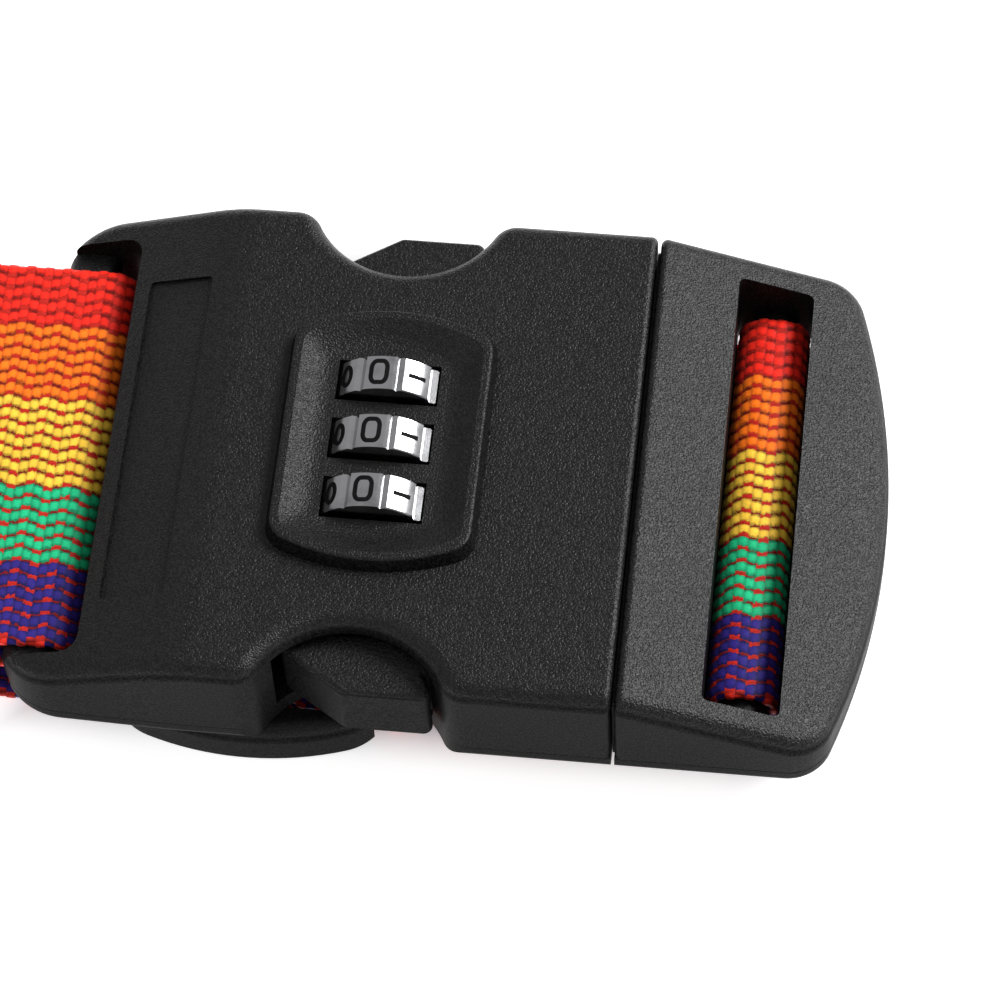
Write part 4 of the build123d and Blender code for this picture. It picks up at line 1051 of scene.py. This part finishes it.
def arc(cx, cy, rx, ry, start, end, steps=18):
    """Points of an elliptic arc; angles in degrees."""
    angles = [math.radians(start + (end - start) * n / steps) for n in range(steps + 1)]
    return [(cx + rx * math.cos(a), cy + ry * math.sin(a)) for a in angles]


# Each digit is one or more lines in a box from -1 to 1, x to the digit's right and y to its top
DIGITS = [
    [arc(0.35, 0.35, 0.65, 0.65, 0, 90, 8)
     + arc(-0.35, 0.35, 0.65, 0.65, 90, 180, 8)
     + arc(-0.35, -0.35, 0.65, 0.65, 180, 270, 8)
     + arc(0.35, -0.35, 0.65, 0.65, 270, 360, 8)
     + [(1.0, 0.35)]],
    [[(0.0, 1.15), (0.0, -1.15)]],
    [arc(0, 0.42, 0.85, 0.58, 165, -38) + [(-0.85, -1.0), (0.9, -1.0)]],
    [arc(0, 0.48, 0.75, 0.52, 150, -85) + arc(0, -0.46, 0.9, 0.54, 85, -150)],
    [[(0.9, -0.35), (-0.9, -0.35), (0.35, 1.0), (0.35, -1.0)]],
    [[(0.8, 1.0), (-0.65, 1.0), (-0.75, 0.15)] + arc(0, -0.38, 0.85, 0.62, 120, -150)],
    [[(0.35, 1.0), (-0.65, 0.1)] + arc(0, -0.38, 0.85, 0.62, 150, -200, 30)],
    [[(-0.9, 1.0), (0.9, 1.0), (-0.25, -1.0)]],
    [arc(0, 0.5, 0.7, 0.5, -90, 270, 28) + arc(0, -0.48, 0.9, 0.52, 90, -270, 28)],
    [[(-0.35, -1.0), (0.65, -0.1)] + arc(0, 0.38, 0.85, 0.62, -30, -380, 30)],
]


def ribbon(points):
    """Left and right edges of a line of the stroke's width."""
    line = np.array(points) * (DIGIT_HALF_WIDTH, DIGIT_HALF_HEIGHT)
    fine = [line[0]]
    for a, b in zip(line, line[1:]):
        steps = max(1, int(np.linalg.norm(b - a) / INK_STEP))
        fine += [a + (b - a) * n / steps for n in range(1, steps + 1)]
    line = np.array(fine)
    keep = np.concatenate([[True], np.linalg.norm(np.diff(line, axis=0), axis=1) > 0.02])
    line = line[keep]
    piece = np.diff(line, axis=0)
    piece /= np.linalg.norm(piece, axis=1, keepdims=True)
    before = np.concatenate([piece[:1], piece])
    after = np.concatenate([piece, piece[-1:]])
    if np.linalg.norm(line[0] - line[-1]) < 0.02:
        before[0] = piece[-1]
        after[-1] = piece[0]
    mean = before + after
    mean /= np.maximum(np.linalg.norm(mean, axis=1, keepdims=True), 0.2)
    square = np.stack([-mean[:, 1], mean[:, 0]], -1)
    widen = 1 / np.maximum((square * np.stack([-after[:, 1], after[:, 0]], -1)).sum(1), 0.6)
    offset = square * (STROKE / 2 * widen)[:, None]
    return line + offset, line - offset


def digits(name, y, body):
    """Ten inked digits round a dial, one on each face."""
    verts = []
    faces = []
    for value, lines in enumerate(DIGITS):
        middle = math.radians(value * FACE_TURN - DIAL_REST_TURN)
        for points in lines:
            first = len(verts)
            left, right = ribbon(points)
            for pair in zip(left, right):
                for radius in (DIAL_R + INK_PROUD, DIAL_R - INK_SUNK):
                    for u, v in pair if radius > DIAL_R else pair[::-1]:
                        angle = middle + v / DIAL_R
                        x = DIAL_X + radius * math.sin(angle)
                        verts.append((x, y - u, DIAL_Z + radius * math.cos(angle)))
            rows = len(left)
            faces += grid_faces(rows, 4, wrap_cols=True, start=first).tolist()
            faces.append([first + n for n in range(4)])
            faces.append([first + (rows - 1) * 4 + n for n in range(3, -1, -1)])
    obj = new_mesh(name, verts, faces, smooth=False)
    dress(obj, INK)
    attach(obj, body)


for place, y in (("near", -DIAL_PITCH), ("middle", 0.0), ("far", DIAL_PITCH)):
    digits(f"digits_{place}", y, f"dial_{place}")

# ------------------------------------------------------------------ lights and floor

FLOOR_HALF = 3000
WORLD_STRENGTH = 0.36

floor_corners = [(x * FLOOR_HALF, y * FLOOR_HALF, 0) for x, y in ((-1, -1), (1, -1), (1, 1), (-1, 1))]
floor = new_mesh("floor", floor_corners, [(0, 1, 2, 3)])
dress(floor, floor_material())


def softbox(name, place, size, energy):
    """A rectangular light that points at the camera's aim."""
    data = bpy.data.lights.new(name, "AREA")
    data.shape = "RECTANGLE"
    data.size, data.size_y = size
    data.energy = energy
    light = bpy.data.objects.new(name, data)
    scene.collection.objects.link(light)
    light.location = place
    light.rotation_euler = (CAMERA_AIM - Vector(place)).to_track_quat("-Z", "Y").to_euler()


softbox("key", (0.85, 0.45, 0.80), (0.5, 0.5), 16.0)
softbox("left", (-0.7, -0.2, 0.8), (0.4, 0.6), 0.7)
world = bpy.data.worlds.new("studio")
scene.world = world
world.use_nodes = True
background = world.node_tree.nodes["Background"]
background.inputs["Color"].default_value = WHITE
background.inputs["Strength"].default_value = WORLD_STRENGTH
scene.view_settings.view_transform = "Standard"
